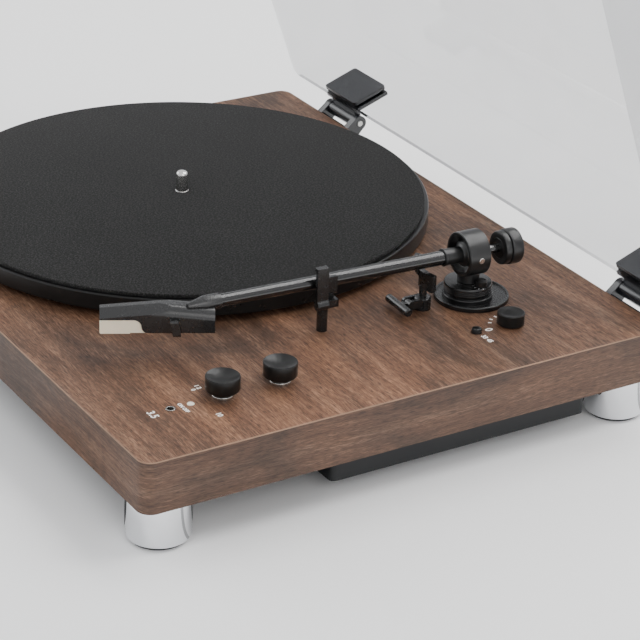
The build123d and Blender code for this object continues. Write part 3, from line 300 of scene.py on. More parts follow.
def smoothed(work, crease):
    """Shades a mesh smooth, with every edge that turns by more than the crease left sharp."""
    open_edge = 3.0
    for face in work.faces:
        face.smooth = True
    for edge in work.edges:
        edge.smooth = edge.calc_face_angle(open_edge) < math.radians(crease)


def eased(piece, width, crease, segments=2):
    bevel = piece.modifiers.new("eased_edges", "BEVEL")
    bevel.width = width * mm
    bevel.segments = segments
    bevel.limit_method = "ANGLE"
    bevel.angle_limit = math.radians(crease)
    bevel.harden_normals = True


def eased_copy(node, name, finish, ease=0.0, crease=32, segments=2):
    """The machined form of a node with its facets merged, shaded smooth and edges eased."""
    same_spot = 0.000002
    flat_turn = math.radians(0.6)
    mesh = frame["nodes"][node].data.copy()
    mesh.name = name
    work = bmesh.new()
    work.from_mesh(mesh)
    bmesh.ops.remove_doubles(work, verts=work.verts, dist=same_spot)
    if ease:
        bmesh.ops.dissolve_limit(work, angle_limit=flat_turn, verts=work.verts, edges=work.edges)
    smoothed(work, crease)
    work.to_mesh(mesh)
    work.free()
    mesh.materials.clear()
    mesh.materials.append(finish)
    piece = shown(name, mesh)
    if ease:
        eased(piece, ease, crease, segments)
    return piece


def fitted(piece, body, slot, *nodes):
    """Sets a piece on its body, in place of the nodes it stands for; the slot is not used."""
    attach(piece, body)
    if nodes:
        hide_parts(*nodes)


def dressed(node, name, finish, body, slot, **shaping):
    """Puts a smooth copy in a node's place; shaping may give its ease, crease and segments."""
    fitted(eased_copy(node, name, finish, **shaping), body, slot, node)


slab_low, slab_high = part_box("plinth")
slab_top = slab_high.z / mm
slab_bottom = slab_low.z / mm
dressed("plinth", "walnut_slab", walnut, "chassis", "veneer")


# ------------------------------------------------------------ base board
# A black-painted fibreboard panel let into the slab's underside over the pockets.
grit = bpy.data.node_groups.new("surface_grit", "ShaderNodeTree")
for socket, default in (("Coarse Scale", 300.0), ("Fine Scale", 2500.0), ("Low", 0.3), ("High", 0.5)):
    entry = grit.interface.new_socket(socket, in_out="INPUT", socket_type="NodeSocketFloat")
    entry.default_value = default
for socket in ("Roughness", "Height", "Mask"):
    grit.interface.new_socket(socket, in_out="OUTPUT", socket_type="NodeSocketFloat")
given = grit.nodes.new("NodeGroupInput")
wanted = grit.nodes.new("NodeGroupOutput")
where = put(grit, "ShaderNodeTexCoord")
coarse = put(grit, "ShaderNodeTexNoise", {"Detail": 3.0, "Roughness": 0.6})
fine = put(grit, "ShaderNodeTexNoise", {"Detail": 2.0, "Roughness": 0.6})
for noise, scale in ((coarse, "Coarse Scale"), (fine, "Fine Scale")):
    wire(grit, where, "Object", noise, "Vector")
    wire(grit, given, scale, noise, "Scale")
spread = put(grit, "ShaderNodeMapRange", {"From Min": 0.35, "From Max": 0.65})
wire(grit, coarse, "Fac", spread, "Value")
wire(grit, given, "Low", spread, "To Min")
wire(grit, given, "High", spread, "To Max")
wire(grit, spread, "Result", wanted, "Roughness")
wire(grit, fine, "Fac", wanted, "Height")
wire(grit, coarse, "Fac", wanted, "Mask")


def gritty(name, shade, smoothest, roughest, variation=0.12, coarse_scale=300, fine_scale=2500,
           depth=0.0, **constants):
    """A moulded, painted or plated finish with its own fine texture."""
    finish, tree, shader = new_finish(name)
    texture = put(tree, "ShaderNodeGroup", node_tree=grit)
    tuned(texture, Coarse_Scale=coarse_scale, Fine_Scale=fine_scale, Low=smoothest, High=roughest)
    lighter = tuple(min(1.0, channel * (1 + variation)) for channel in shade)
    darker = tuple(channel * (1 - variation) for channel in shade)
    colour = ramp(tree, (texture, "Mask"), [(0.3, darker), (0.7, lighter)])
    wire(tree, *colour, shader, "Base Color")
    wire(tree, texture, "Roughness", shader, "Roughness")
    if depth:
        raised(tree, shader, (texture, "Height"), depth, strength=0.5)
    tuned(shader, **constants)
    return finish


board_paint = gritty("base_board_paint", (0.03, 0.03, 0.03), 0.6, 0.75, variation=0.25, coarse_scale=120,
                     fine_scale=1200, depth=0.0001)
dressed("base_board", "painted_base_board", board_paint, "chassis", "board")


# ------------------------------------------------------------ feet
# Four turned metal feet, chrome plated, each with a rubber pad glued in its underside.
def lathe(name, outline, finish, place, steps=96, ease=0.0, crease=30):
    """A turned piece: outline is (radius, station) in mm, round the place's own Z axis."""
    mesh = bpy.data.meshes.new(name)
    work = bmesh.new()
    rings = []
    for radius, station in outline:
        if radius == 0:
            rings.append([work.verts.new((0, 0, station * mm))])
            continue
        rings.append([
            work.verts.new((radius * mm * math.cos(2 * math.pi * k / steps),
                            radius * mm * math.sin(2 * math.pi * k / steps), station * mm))
            for k in range(steps)])
    hollow = outline[0][0] > 0
    pairs = list(zip(rings, rings[1:])) + ([(rings[-1], rings[0])] if hollow else [])
    for lower, upper in pairs:
        if len(lower) == len(upper) == 1:
            continue
        for k in range(steps):
            j = (k + 1) % steps
            if len(lower) == 1:
                work.faces.new((lower[0], upper[j], upper[k]))
            elif len(upper) == 1:
                work.faces.new((lower[k], lower[j], upper[0]))
            else:
                work.faces.new((lower[k], lower[j], upper[j], upper[k]))
    bmesh.ops.recalc_face_normals(work, faces=work.faces)
    smoothed(work, crease)
    bmesh.ops.transform(work, matrix=place, verts=work.verts)
    work.to_mesh(mesh)
    work.free()
    mesh.materials.append(finish)
    piece = shown(name, mesh)
    if ease:
        eased(piece, ease, crease)
    return piece


def turned(node, name, outline, finish, place, body, slot, **shaping):
    """Puts a turned piece in a node's place; shaping may give its steps, ease and crease."""
    fitted(lathe(name, outline, finish, place, **shaping), body, slot, node)


def upright(node, level=0.0):
    """A place on a round node's vertical axis, its zero at a level in mm."""
    low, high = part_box(node)
    return Matrix.Translation(((low.x + high.x) / 2, (low.y + high.y) / 2, level * mm))


def measured(node, place):
    """A node's lowest and highest station and its radius about a place's axis, in mm."""
    back = place.inverted()
    points = [back @ vertex.co for vertex in frame["nodes"][node].data.vertices]
    stations = [point.z / mm for point in points]
    return min(stations), max(stations), max(math.hypot(point.x, point.y) for point in points) / mm


def edge(reach, level, *points):
    """Outline points round an edge, each (inward, upward) in mm from its sharp corner."""
    return [(reach - inward, level + upward) for inward, upward in points]


foot_chrome = gritty("foot_chrome", (0.78, 0.79, 0.81), 0.04, 0.09, variation=0.02, coarse_scale=90,
                     fine_scale=1500, Metallic=1.0)
pad_rubber = gritty("foot_pad_rubber", (0.03, 0.03, 0.032), 0.75, 0.9, variation=0.2, coarse_scale=300,
                    fine_scale=3000, depth=0.00005)
pad_inset = 2.3
pad_recess = 1.0
for corner in ("front_left", "front_right", "back_left", "back_right"):
    node = f"foot_{corner}"
    place = upright(node, slab_bottom)
    low, high, reach = measured(node, place)
    pad = reach - pad_inset
    outline = [(0, 0), (reach, 0), *edge(reach, low, (0, 1.4), (0.4, 0.4), (1.2, 0)),
               (pad, low), (pad, low + pad_recess), (0, low + pad_recess)]
    turned(node, f"chrome_{node}", outline, foot_chrome, place, "chassis", "chrome", steps=128, ease=0.25)
dressed("foot_pads", "rubber_foot_pads", pad_rubber, "chassis", "foot_rubber", ease=0.6)

# ------------------------------------------------------------ under-tray and sockets
# A folded sheet-steel tray, painted satin blue-black, that holds the amplifier board.
# Its back carries the power inlet, two phono sockets and four speaker terminals.
tray_paint = gritty("tray_paint", (0.008, 0.009, 0.010), 0.36, 0.44, variation=0.12, coarse_scale=60,
                    fine_scale=2600, depth=0.000006, Specular_IOR_Level=0.35)
dressed("under_tray", "folded_tray", tray_paint, "chassis", "tray_black", ease=0.5)

board_resin, tree, shader = new_finish("circuit_board_resin")
place = put(tree, "ShaderNodeTexCoord")
brick = put(tree, "ShaderNodeTexBrick", {"Scale": 120.0, "Mortar Size": 0.08})
wire(tree, place, "Object", brick, "Vector")
copper_runs = ramp(tree, (brick, "Fac"), [(0.4, (0.02, 0.12, 0.05)), (0.6, (0.06, 0.25, 0.11))])
wire(tree, *copper_runs, shader, "Base Color")
tuned(shader, Roughness=0.35)


def finished(node, finish):
    """Gives a node that stays as machined its own finish."""
    mesh = frame["nodes"][node].data
    mesh.materials.clear()
    mesh.materials.append(finish)


finished("amplifier_board", board_resin)
socket_nickel = gritty("socket_nickel", (0.70, 0.69, 0.66), 0.15, 0.28, variation=0.04, coarse_scale=500,
                       fine_scale=3000, Metallic=1.0)
moulded_black = gritty("moulded_black", (0.016, 0.016, 0.017), 0.36, 0.46, variation=0.15,
                       coarse_scale=500, fine_scale=4200, depth=0.00002)
for node, piece, finish, slot in (("line_out_sockets", "phono_sockets", socket_nickel, "chrome"),
                                  ("dc_inlet", "power_inlet", moulded_black, "black_satin"),
                                  ("speaker_terminals", "terminal_caps", moulded_black, "black_gloss")):
    dressed(node, piece, finish, "chassis", slot, ease=0.25)
screw_zinc = gritty("screw_zinc", (0.52, 0.52, 0.50), 0.25, 0.4, variation=0.1, coarse_scale=700,
                    fine_scale=3000, depth=0.00001, Metallic=1.0)
dressed("case_screws", "tray_screws", screw_zinc, "chassis", "steel", ease=0.2)

# ------------------------------------------------------------ drive inside the slab
# Motor, bearing, pulley and belt under the platter: plated steel, turned brass and rubber.
motor_plating = gritty("motor_plating", (0.50, 0.50, 0.51), 0.3, 0.45, variation=0.08, coarse_scale=200,
                       fine_scale=1800, depth=0.00002, Metallic=1.0)
turned_brass = gritty("turned_brass", (0.62, 0.45, 0.19), 0.2, 0.32, variation=0.08, coarse_scale=300,
                      fine_scale=2400, depth=0.00001, Metallic=1.0)
belt_rubber = gritty("belt_rubber", (0.02, 0.02, 0.02), 0.55, 0.7, variation=0.2, coarse_scale=300,
                     fine_scale=2400, depth=0.00002)
drive_moulding = gritty("drive_moulding", (0.06, 0.06, 0.062), 0.4, 0.55, variation=0.15,
                        coarse_scale=300, fine_scale=2400, depth=0.00002)
for node, finish in (("motor_can", motor_plating), ("motor_plate", screw_zinc),
                     ("motor_grommets", pad_rubber), ("motor_shaft", screw_zinc),
                     ("motor_pulley", turned_brass), ("drive_belt", belt_rubber),
                     ("bearing_housing", turned_brass), ("thrust_ball", screw_zinc),
                     ("sub_platter", drive_moulding), ("potentiometers", motor_plating),
                     ("button_switch", drive_moulding), ("arm_nut", screw_zinc),
                     ("cartridge", drive_moulding)):
    finished(node, finish)

# ------------------------------------------------------------ platter and spindle
# A cast aluminium platter, anodised semi-gloss black, turning on a steel spindle with a
# rounded tip.
platter_anodise = gritty("platter_anodise", (0.006, 0.006, 0.006), 0.27, 0.33, variation=0.1,
                         coarse_scale=60, fine_scale=1500, Specular_IOR_Level=0.35)
platter_place = upright("platter")
low, high, reach = measured("platter", platter_place)
pin_low, pin_high, shoulder = measured("spindle", platter_place)
rim_wall = 7.0
deck_thickness = 4.0
running_fit = 0.05
hollow = reach - rim_wall
deck = high - deck_thickness
bore = shoulder + running_fit
platter_outline = [(bore, high), *edge(reach, high, (0.5, 0), (0, -0.5)),
                   *edge(reach, low, (0, 0.6), (0.6, 0)), (hollow, low), (hollow, deck), (bore, deck)]
turned("platter", "black_platter", platter_outline, platter_anodise, platter_place, "platter",
       "platter_black", steps=256, ease=0.2)
spindle_steel = gritty("spindle_steel", (0.72, 0.71, 0.69), 0.14, 0.24, variation=0.05, coarse_scale=500,
                       fine_scale=2500, Metallic=1.0)
shoulder_step = 0.4
pin = shoulder - shoulder_step
pin_tip = edge(pin, pin_high, (0, -2.2), (0.2, -1.4), (0.7, -0.7), (1.6, -0.25), (2.6, -0.05))
spindle_outline = [(0, pin_low), (shoulder, pin_low), (shoulder, 0), (pin, 0), *pin_tip, (0, pin_high)]
turned("spindle", "polished_spindle", spindle_outline, spindle_steel, platter_place, "platter", "steel",
       steps=64, ease=0.1)

# ------------------------------------------------------------ felt mat
# A disc of pressed charcoal felt. Its fibres lie every way, so it is matt and mottled,
# and a few stand proud of the cut edge.
felt, tree, shader = new_finish("charcoal_felt")
place = put(tree, "ShaderNodeTexCoord")
everywhere = (place, "Object")
clumps = speckle(tree, everywhere, 900.0, detail=4.0, rough=0.7)
strands = speckle(tree, stretched(tree, everywhere, 700, 2600, 700), 1.0, detail=3.0, rough=0.65,
                  distortion=0.4)
cross_strands = speckle(tree, stretched(tree, everywhere, 2600, 700, 700), 1.0, detail=3.0, rough=0.65,
                        distortion=0.4)
drift = speckle(tree, everywhere, 22.0, detail=3.0, rough=0.6)
fibre = products(tree, (strands, 0.5), (cross_strands, 0.5))
fibre = products(tree, (fibre, 0.6), (clumps, 0.4))
felt_colour = ramp(tree, fibre, [(0.40, (0.006, 0.006, 0.006)), (0.5, (0.017, 0.0168, 0.0165)),
                                 (0.59, (0.052, 0.0515, 0.051))])
patchy = ramp(tree, drift, [(0.3, 0.88), (0.7, 1.0)])
felt_colour = blended(tree, "MULTIPLY", 1.0, felt_colour, patchy)
wire(tree, *felt_colour, shader, "Base Color")
tuned(shader, Roughness=0.95, Specular_IOR_Level=0.15, Sheen_Weight=0.03, Sheen_Roughness=0.5)
fibre_relief = 0.00035
raised(tree, shader, fibre, fibre_relief, strength=0.7)
low, high, reach = measured("mat", platter_place)
hole_gap = 0.3
mat_hole = shoulder + hole_gap
mat_outline = [(mat_hole, high), *edge(reach, high, (0.6, 0), (0.2, -0.15), (0, -0.6)),
               *edge(reach, low, (0, 0.5), (0.2, 0.1), (0.6, 0)), (mat_hole, low)]
turned("mat", "felt_mat", mat_outline, felt, platter_place, "platter", "felt", steps=256, crease=50)

# ------------------------------------------------------------ amplifier knobs
# Volume and tone: moulded satin black knobs with a dished top, each over a small chrome
# nut. The speed selector is a lower plain knob, and the start button a small round key.
knob_satin = gritty("knob_satin", (0.007, 0.0068, 0.0065), 0.30, 0.34, variation=0.1, coarse_scale=700,
                    fine_scale=5200, depth=0.0000015, Specular_IOR_Level=0.36)
knob_core = 3
knob_side = 9.7
dish_steps = 10
dish_depth = 2.2


def knob_outline(node, place):
    """A knob on its core: a chamfered skirt, straight sides, a fine rim and a dished top."""
    low, high, reach = measured(node, place)
    skirt = high - knob_side
    outline = [(0, low), (knob_core, low), (knob_core, skirt),
               *edge(reach, skirt, (2.5, 0), (0.4, 1.5), (0, 2.2)),
               *edge(reach, high, (0, -0.35), (0.12, -0.08), (0.4, 0))]
    lip = outline[-1][0]
    for k in range(1, dish_steps + 1):
        out = lip * (1 - k / dish_steps)
        outline.append((out, high - dish_depth * (1 - (out / lip) ** 2)))
    return outline


for node in ("volume_knob", "tone_knob"):
    place = upright(node, slab_top)
    turned(node, f"satin_{node}", knob_outline(node, place), knob_satin, place, node, "black_satin",
           steps=96, ease=0.15)
place = upright("speed_knob", slab_top)
low, high, reach = measured("speed_knob", place)
skirt = 0.3
speed_dish = 0.52
speed_outline = [(0, low), (knob_core, low), (knob_core, skirt), *edge(reach, skirt, (0.55, 0), (0, 0.55)),
                 *edge(reach, high, (0, -0.5), (0.3, -0.1), (0.85, 0)),
                 *edge(reach, high, (1.4, -0.15), (3.2, -0.4), (5.4, -0.5)), (0, high - speed_dish)]
turned("speed_knob", "satin_speed_knob", speed_outline, knob_satin, place, "speed_knob", "black_satin",
       steps=96, ease=0.12)
place = upright("start_button", slab_top)
low, high, reach = measured("start_button", place)
button_flange = 1.2
stem_length = 4.4
stem = reach - button_flange
cap = low + stem_length
button_outline = [(0, low), (stem, low), (stem, cap), (reach, cap),
                  *edge(reach, high, (0, -0.8), (0.25, -0.3), (0.8, -0.1)), (0, high)]
turned("start_button", "start_key", button_outline, knob_satin, place, "start_button", "black_satin",
       steps=48, ease=0.08)
nut_chrome = gritty("nut_chrome", (0.62, 0.61, 0.58), 0.14, 0.24, variation=0.04, coarse_scale=500,
                    fine_scale=2000, Metallic=1.0)
dressed("knob_collars", "chrome_knob_nuts", nut_chrome, "chassis", "chrome", ease=0.2)
dressed("headphone_socket", "headphone_ring", nut_chrome, "chassis", "chrome", ease=0.12)
lens_clear = gritty("light_lens", (0.90, 0.86, 0.74), 0.12, 0.2, variation=0.04, coarse_scale=700,
                    fine_scale=3000, Subsurface_Weight=0.3, Subsurface_Scale=0.001)
place = upright("power_light", slab_top)
low, high, reach = measured("power_light", place)
lens_flange = 2.0
lens_seat = 0.02
lens_crown = 0.8
stem = reach - 0.6
lens_outline = [(0, low), (stem, low), (stem, lens_seat), (lens_flange, lens_seat), (lens_flange, 0.3),
                *edge(lens_flange, high, (0.35, -0.15)), (lens_crown, high), (0, high)]
turned("power_light", "power_lens", lens_outline, lens_clear, place, "chassis", "light_lens", steps=48)

# ------------------------------------------------------------ printed marks
# Screen-printed marks in off-white ink: plain figures and the words ON OFF beside the
# controls, laid on the lacquer two hundredths of a millimetre thick.
white_ink = gritty("white_ink", (0.93, 0.91, 0.87), 0.5, 0.65, variation=0.04, coarse_scale=900,
                   fine_scale=6000, depth=0.00001)
ink_thickness = 0.02
stroke_gain = 0.16


def printed(words, x, y, height):
    """A word or figure lying on the slab, read from the front; returned as a plain mesh."""
    curve = bpy.data.curves.new("figure", "FONT")
    curve.body = words
    curve.size = height * mm
    curve.extrude = ink_thickness * mm / 2
    curve.offset = stroke_gain * mm
    curve.align_x = "CENTER"
    curve.align_y = "CENTER"
    curve.resolution_u = 3
    holder = shown("figure", curve)
    holder.location = (x * mm, y * mm, (slab_top + ink_thickness / 2) * mm)
    bpy.context.view_layer.update()
    mesh = bpy.data.meshes.new_from_object(holder.evaluated_get(bpy.context.evaluated_depsgraph_get()))
    mesh.transform(holder.matrix_world)
    bpy.data.objects.remove(holder)
    return mesh


def joined(name, meshes, finish):
    """Several plain meshes as one piece with one finish."""
    work = bmesh.new()
    for mesh in meshes:
        work.from_mesh(mesh)
        bpy.data.meshes.remove(mesh)
    bmesh.ops.remove_doubles(work, verts=work.verts, dist=0.000001)
    bmesh.ops.recalc_face_normals(work, faces=work.faces)
    whole = bpy.data.meshes.new(name)
    work.to_mesh(whole)
    work.free()
    whole.materials.clear()
    whole.materials.append(finish)
    return shown(name, whole)


def middle(node):
    """The centre of a node seen from above, in mm."""
    low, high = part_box(node)
    return (low.x + high.x) / 2 / mm, (low.y + high.y) / 2 / mm


volume = middle("volume_knob")
speed = middle("speed_knob")
power = middle("power_light")
jack = middle("headphone_socket")
marks = []
for words, control, right, back, height in (
        ("1 2", volume, -15.2, -6.6, 3.6), ("0", volume, -13.4, -10.2, 3.6),
        ("10", volume, 17.0, -11.5, 4.2), ("ON OFF", power, 1.8, -5.4, 2.9),
        ("3.5", jack, 1.0, -11.0, 6.2), ("0", speed, 0.5, -15.3, 6.4),
        ("33 45", speed, 9.5, -22.5, 4.0)):
    marks.append(printed(words, control[0] + right, control[1] + back, height))
fitted(joined("printed_marks", marks, white_ink), "chassis", "cream")

# ------------------------------------------------------------ tonearm base
# A pressed and turned black base with a raised rim, a tower with fine grooves round it,
# and the small anti-skate dial let into its top.
joints = {joint["name"]: joint for joint in frame["joints"]}
base_gloss = gritty("arm_base_gloss", (0.007, 0.007, 0.007), 0.23, 0.26, variation=0.06, coarse_scale=200,
                    fine_scale=3600, Specular_IOR_Level=0.55)
dressed("arm_base", "arm_base_dish", base_gloss, "chassis", "black_gloss", ease=0.25, crease=24,
        segments=3)
place = upright("arm_tower", slab_top)
low, high, step = measured("arm_tower", place)
stem = 7.0
bore = 3.05
neck = step - 1.4
body = step - 0.6
seat = 2.0
step_top = 4.5
neck_top = 5.5
tower_outline = [(bore, low), (stem, low), (stem, seat), (step, seat),
                 *edge(step, step_top, (0, -0.4), (0.4, 0)), (neck, step_top), (neck, neck_top),
                 *edge(body, neck_top, (0.5, 0.1), (0, 0.7))]
for groove in (7.3, 8.3, 9.3):
    tower_outline += edge(body, groove, (0, -0.2), (0.3, 0), (0, 0.2))
tower_outline += [*edge(body, high, (0, -0.8), (0.3, -0.2), (0.8, 0)), (bore, high)]
turned("arm_tower", "arm_tower_turned", tower_outline, base_gloss, place, "chassis", "black_gloss",
       steps=128, ease=0.12)
place = upright("antiskate_dial", slab_top)
low, high, reach = measured("antiskate_dial", place)
dial_stem = 1.2
dial_height = 3.5
dial_dish = 0.3
flange = high - dial_height
antiskate_outline = [(0, low), (dial_stem, low), (dial_stem, flange), (reach, flange),
                     *edge(reach, high, (0, -0.4), (0.3, 0), (1.0, 0), (1.2, -dial_dish)),
                     (0, high - dial_dish)]
turned("antiskate_dial", "antiskate_knob", antiskate_outline, knob_satin, place, "antiskate_dial",
       "chrome", steps=48, ease=0.08)

# ------------------------------------------------------------ scales and small screws
# What repeats is set out by one node tree: copies of a small piece along an arc or a row,
# each turned a little at random, as screws end up when they are driven home.
setting_out = bpy.data.node_groups.new("set_out_copies", "GeometryNodeTree")
for socket, kind in (("Piece", "Geometry"), ("Count", "Int"), ("Radius", "Float"),
                     ("First Angle", "Float"), ("Angle Step", "Float"), ("Shift Step", "Vector"),
                     ("Loose Turn", "Float"), ("Seed", "Int"), ("Finish", "Material")):
    setting_out.interface.new_socket(socket, in_out="INPUT", socket_type=f"NodeSocket{kind}")
setting_out.interface.new_socket("Copies", in_out="OUTPUT", socket_type="NodeSocketGeometry")
given = setting_out.nodes.new("NodeGroupInput")
wanted = setting_out.nodes.new("NodeGroupOutput")
index = put(setting_out, "GeometryNodeInputIndex")
row = put(setting_out, "GeometryNodeMeshLine", {"Offset": (0, 0, 0)}, mode="OFFSET")
wire(setting_out, given, "Count", row, "Count")
turned_by = sums(setting_out, "MULTIPLY", (given, "Angle Step"), (index, "Index"))
turned_to = sums(setting_out, "ADD", turned_by, (given, "First Angle"))
arm_out = put(setting_out, "ShaderNodeCombineXYZ")
wire(setting_out, given, "Radius", arm_out, "X")
swung = put(setting_out, "ShaderNodeVectorRotate", rotation_type="Z_AXIS")
wire(setting_out, arm_out, "Vector", swung, "Vector")
wire(setting_out, *turned_to, swung, "Angle")
shifted = put(setting_out, "ShaderNodeVectorMath", operation="SCALE")
wire(setting_out, given, "Shift Step", shifted, "Vector")
wire(setting_out, index, "Index", shifted, "Scale")
total = put(setting_out, "ShaderNodeVectorMath", operation="ADD")
wire(setting_out, swung, "Vector", total, 0)
wire(setting_out, shifted, "Vector", total, 1)
spots = put(setting_out, "GeometryNodeSetPosition")
wire(setting_out, row, "Mesh", spots, "Geometry")
wire(setting_out, total, "Vector", spots, "Position")
chance = put(setting_out, "FunctionNodeRandomValue", data_type="FLOAT")
wire(setting_out, given, "Seed", chance, "Seed")
loose = sums(setting_out, "MULTIPLY", (chance, 1), (given, "Loose Turn"))
facing_to = sums(setting_out, "ADD", turned_to, loose)
turn_vector = put(setting_out, "ShaderNodeCombineXYZ")
wire(setting_out, *facing_to, turn_vector, "Z")
turning = put(setting_out, "FunctionNodeEulerToRotation")
wire(setting_out, turn_vector, "Vector", turning, 0)
copies = put(setting_out, "GeometryNodeInstanceOnPoints")
wire(setting_out, spots, "Geometry", copies, "Points")
wire(setting_out, given, "Piece", copies, "Instance")
wire(setting_out, turning, "Rotation", copies, "Rotation")
real = put(setting_out, "GeometryNodeRealizeInstances")
wire(setting_out, copies, "Instances", real, "Geometry")
coated = put(setting_out, "GeometryNodeSetMaterial")
wire(setting_out, real, "Geometry", coated, "Geometry")
wire(setting_out, given, "Finish", coated, "Material")
wire(setting_out, coated, "Geometry", wanted, "Copies")
sockets = {item.name: item.identifier for item in setting_out.interface.items_tree
           if item.in_out == "INPUT"}


def set_out(name, unit, place, finish, **values):
    """Copies of a unit piece, set out by the node tree and made into one plain mesh."""
    tool = unit.modifiers.new("set_out", "NODES")
    tool.node_group = setting_out
    values = {"seed": 3, "radius": 0.0, "first_angle": 0.0, "angle_step": 0.0, "loose_turn": 0.0,
              "shift_step": (0.0, 0.0, 0.0), **values}
    for label, value in values.items():
        tool[sockets[label.replace("_", " ").title()]] = value
    tool[sockets["Finish"]] = finish
    unit.update_tag()
    bpy.context.view_layer.update()
    mesh = bpy.data.meshes.new_from_object(unit.evaluated_get(bpy.context.evaluated_depsgraph_get()))
    mesh.name = name
    mesh.transform(place)
    bpy.data.objects.remove(unit)
    return shown(name, mesh)


def bar(name, x, y, z, finish):
    """A small box from three (start, end) spans in mm."""
    mesh = bpy.data.meshes.new(name)
    work = bmesh.new()
    bmesh.ops.create_cube(work, size=1.0)
    for vertex in work.verts:
        vertex.co = [(span[0] if part < 0 else span[1]) * mm for part, span in zip(vertex.co, (x, y, z))]
    work.to_mesh(mesh)
    work.free()
    mesh.materials.append(finish)
    return shown(name, mesh)


tick_ink = gritty("tick_ink", (0.42, 0.42, 0.41), 0.45, 0.6, variation=0.05, coarse_scale=900,
                  fine_scale=6000, depth=0.00001)
place = upright("antiskate_dial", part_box("arm_tower")[1].z / mm)
tick = bar("tick", (3.7, 4.9), (-0.16, 0.16), (0.0, ink_thickness), tick_ink)
scale = set_out("antiskate_scale", tick, place, tick_ink, count=5,
                first_angle=math.radians(-150), angle_step=math.radians(33))
fitted(scale, "chassis", "cream")
place = upright("speed_knob", slab_top)
tick = bar("tick", (10.6, 12.6), (-0.55, 0.55), (0.0, ink_thickness), white_ink)
scale = set_out("speed_marks", tick, place, white_ink, count=3,
                first_angle=math.radians(-168), angle_step=math.radians(22))
fitted(scale, "chassis", "cream")

# ------------------------------------------------------------ gimbal
# An open black ring on a short pillar carries the arm between two pivot screws.
arm_black = gritty("arm_black", (0.009, 0.009, 0.009), 0.33, 0.37, variation=0.06, coarse_scale=200,
                   fine_scale=4200, Specular_IOR_Level=0.6)
dressed("gimbal_ring", "gimbal_yoke", arm_black, "arm_yaw", "black_metal", ease=0.35, crease=34,
        segments=3)
pivot_chrome = gritty("pivot_chrome", (0.82, 0.81, 0.80), 0.08, 0.16, variation=0.03, coarse_scale=600,
                      fine_scale=2000, Metallic=1.0)
dressed("pivot_screws", "gimbal_screws", pivot_chrome, "arm_yaw", "chrome", ease=0.2)

# ------------------------------------------------------------ tonearm
# A gloss black aluminium tube, tapering to the headshell, in a black bearing collar,
# with the counterweight and its tracking-force dial on a dark steel shaft behind.
def axis_place(joint, forward):
    """A place whose Z axis runs along a joint's axis line, its zero at that joint."""
    turn = Vector(forward).to_track_quat("Z", "Y").to_matrix().to_4x4()
    return Matrix.Translation(joints[joint]["pos_m"]) @ turn


forward = Vector(joints["force_dial_turn"]["axis"]).normalized()
pivot = Vector(joints["arm_lift"]["pos_m"])
beam = axis_place("arm_lift", forward)
dial_spot = Vector(joints["force_dial_turn"]["pos_m"])
behind = (dial_spot - pivot).dot(forward)
rear = Matrix.Translation(dial_spot - forward * behind) @ beam.to_3x3().to_4x4()
block_low, collar_end, block_reach = measured("bearing_block", beam)
tube_low, tube_end, tube_root = measured("arm_tube", beam)
collar_wall = 0.65
lip_wall = 0.35
block_half = 6.0
block_shoulder = 5.6
tube_fit = tube_root + 0.06
tube_socket = collar_end - 0.4
collar = tube_root + collar_wall
lip = collar + lip_wall
collar_outline = [(0, -block_half), *edge(block_reach, -block_half, (1.2, 0), (0, 1.2)),
                  *edge(block_reach, block_half, (0, -1.2), (0.7, -0.4)), (block_shoulder, block_half),
                  (collar, block_half + 0.8), (collar, collar_end - 1.3),
                  *edge(lip, collar_end, (0, -1.15), (0, -0.15), (0.3, 0)), (tube_fit, collar_end),
                  (tube_fit, tube_socket), (0, tube_socket)]
turned("bearing_block", "bearing_collar", collar_outline, arm_black, beam, "arm_beam", "black_metal",
       steps=96, ease=0.12)
stub_outline = [(0, block_low), *edge(tube_root, block_low, (0.4, 0), (0, 0.4)), (tube_root, 0), (0, 0)]
turned("bearing_block", "bearing_stub", stub_outline, arm_black, rear, "arm_beam", "black_metal",
       steps=64, ease=0.1)
tube_gloss = gritty("tube_gloss", (0.008, 0.008, 0.008), 0.14, 0.17, variation=0.05, coarse_scale=90,
                    fine_scale=3000, Specular_IOR_Level=0.8)
tip = 3.5
tube_outline = [(0, tube_low), (tube_root, tube_low), (tube_root, collar_end), (tip, tube_end),
                (0, tube_end)]
turned("arm_tube", "arm_tube_gloss", tube_outline, tube_gloss, beam, "arm_beam", "tube_black", steps=64)
dark_steel = gritty("dark_steel", (0.12, 0.12, 0.12), 0.2, 0.28, variation=0.05, coarse_scale=500,
                    fine_scale=2500, Metallic=1.0)
low, high, reach = measured("counterweight_shaft", rear)
shaft_outline = [(0, low), *edge(reach, low, (0.3, 0), (0, 0.4)), (reach, high), (0, high)]
turned("counterweight_shaft", "weight_shaft", shaft_outline, dark_steel, rear, "arm_beam", "chrome",
       steps=48)
hub_bore = 6.05
low, high, reach = measured("force_dial", rear)
dial_outline = [(hub_bore, high), *edge(reach, high, (1.2, 0), (0.35, -0.35), (0, -1.2)),
                *edge(reach, low, (0, 0.4), (0.4, 0)), (hub_bore, low)]
turned("force_dial", "tracking_dial", dial_outline, arm_black, rear, "force_dial", "black_satin",
       steps=96, ease=0.1)
weight_low, weight_high, reach = measured("counterweight", rear)
hub = hub_bore - running_fit
dial_gap = 0.3
back_wall = 1.2
front = low - dial_gap
bore_end = weight_low + back_wall
bore = 2.45
weight_outline = [(bore, weight_high), *edge(hub, weight_high, (0.3, 0), (0, -0.3)), (hub, front),
                  *edge(reach, front, (0.7, 0), (0.2, -0.3), (0, -1.0)),
                  *edge(reach, weight_low, (0, 0.9), (0.3, 0.3), (0.9, 0)),
                  (0, weight_low), (0, bore_end), (bore, bore_end)]
turned("counterweight", "balance_weight", weight_outline, arm_black, rear, "counterweight", "black_metal",
       steps=96, ease=0.12)

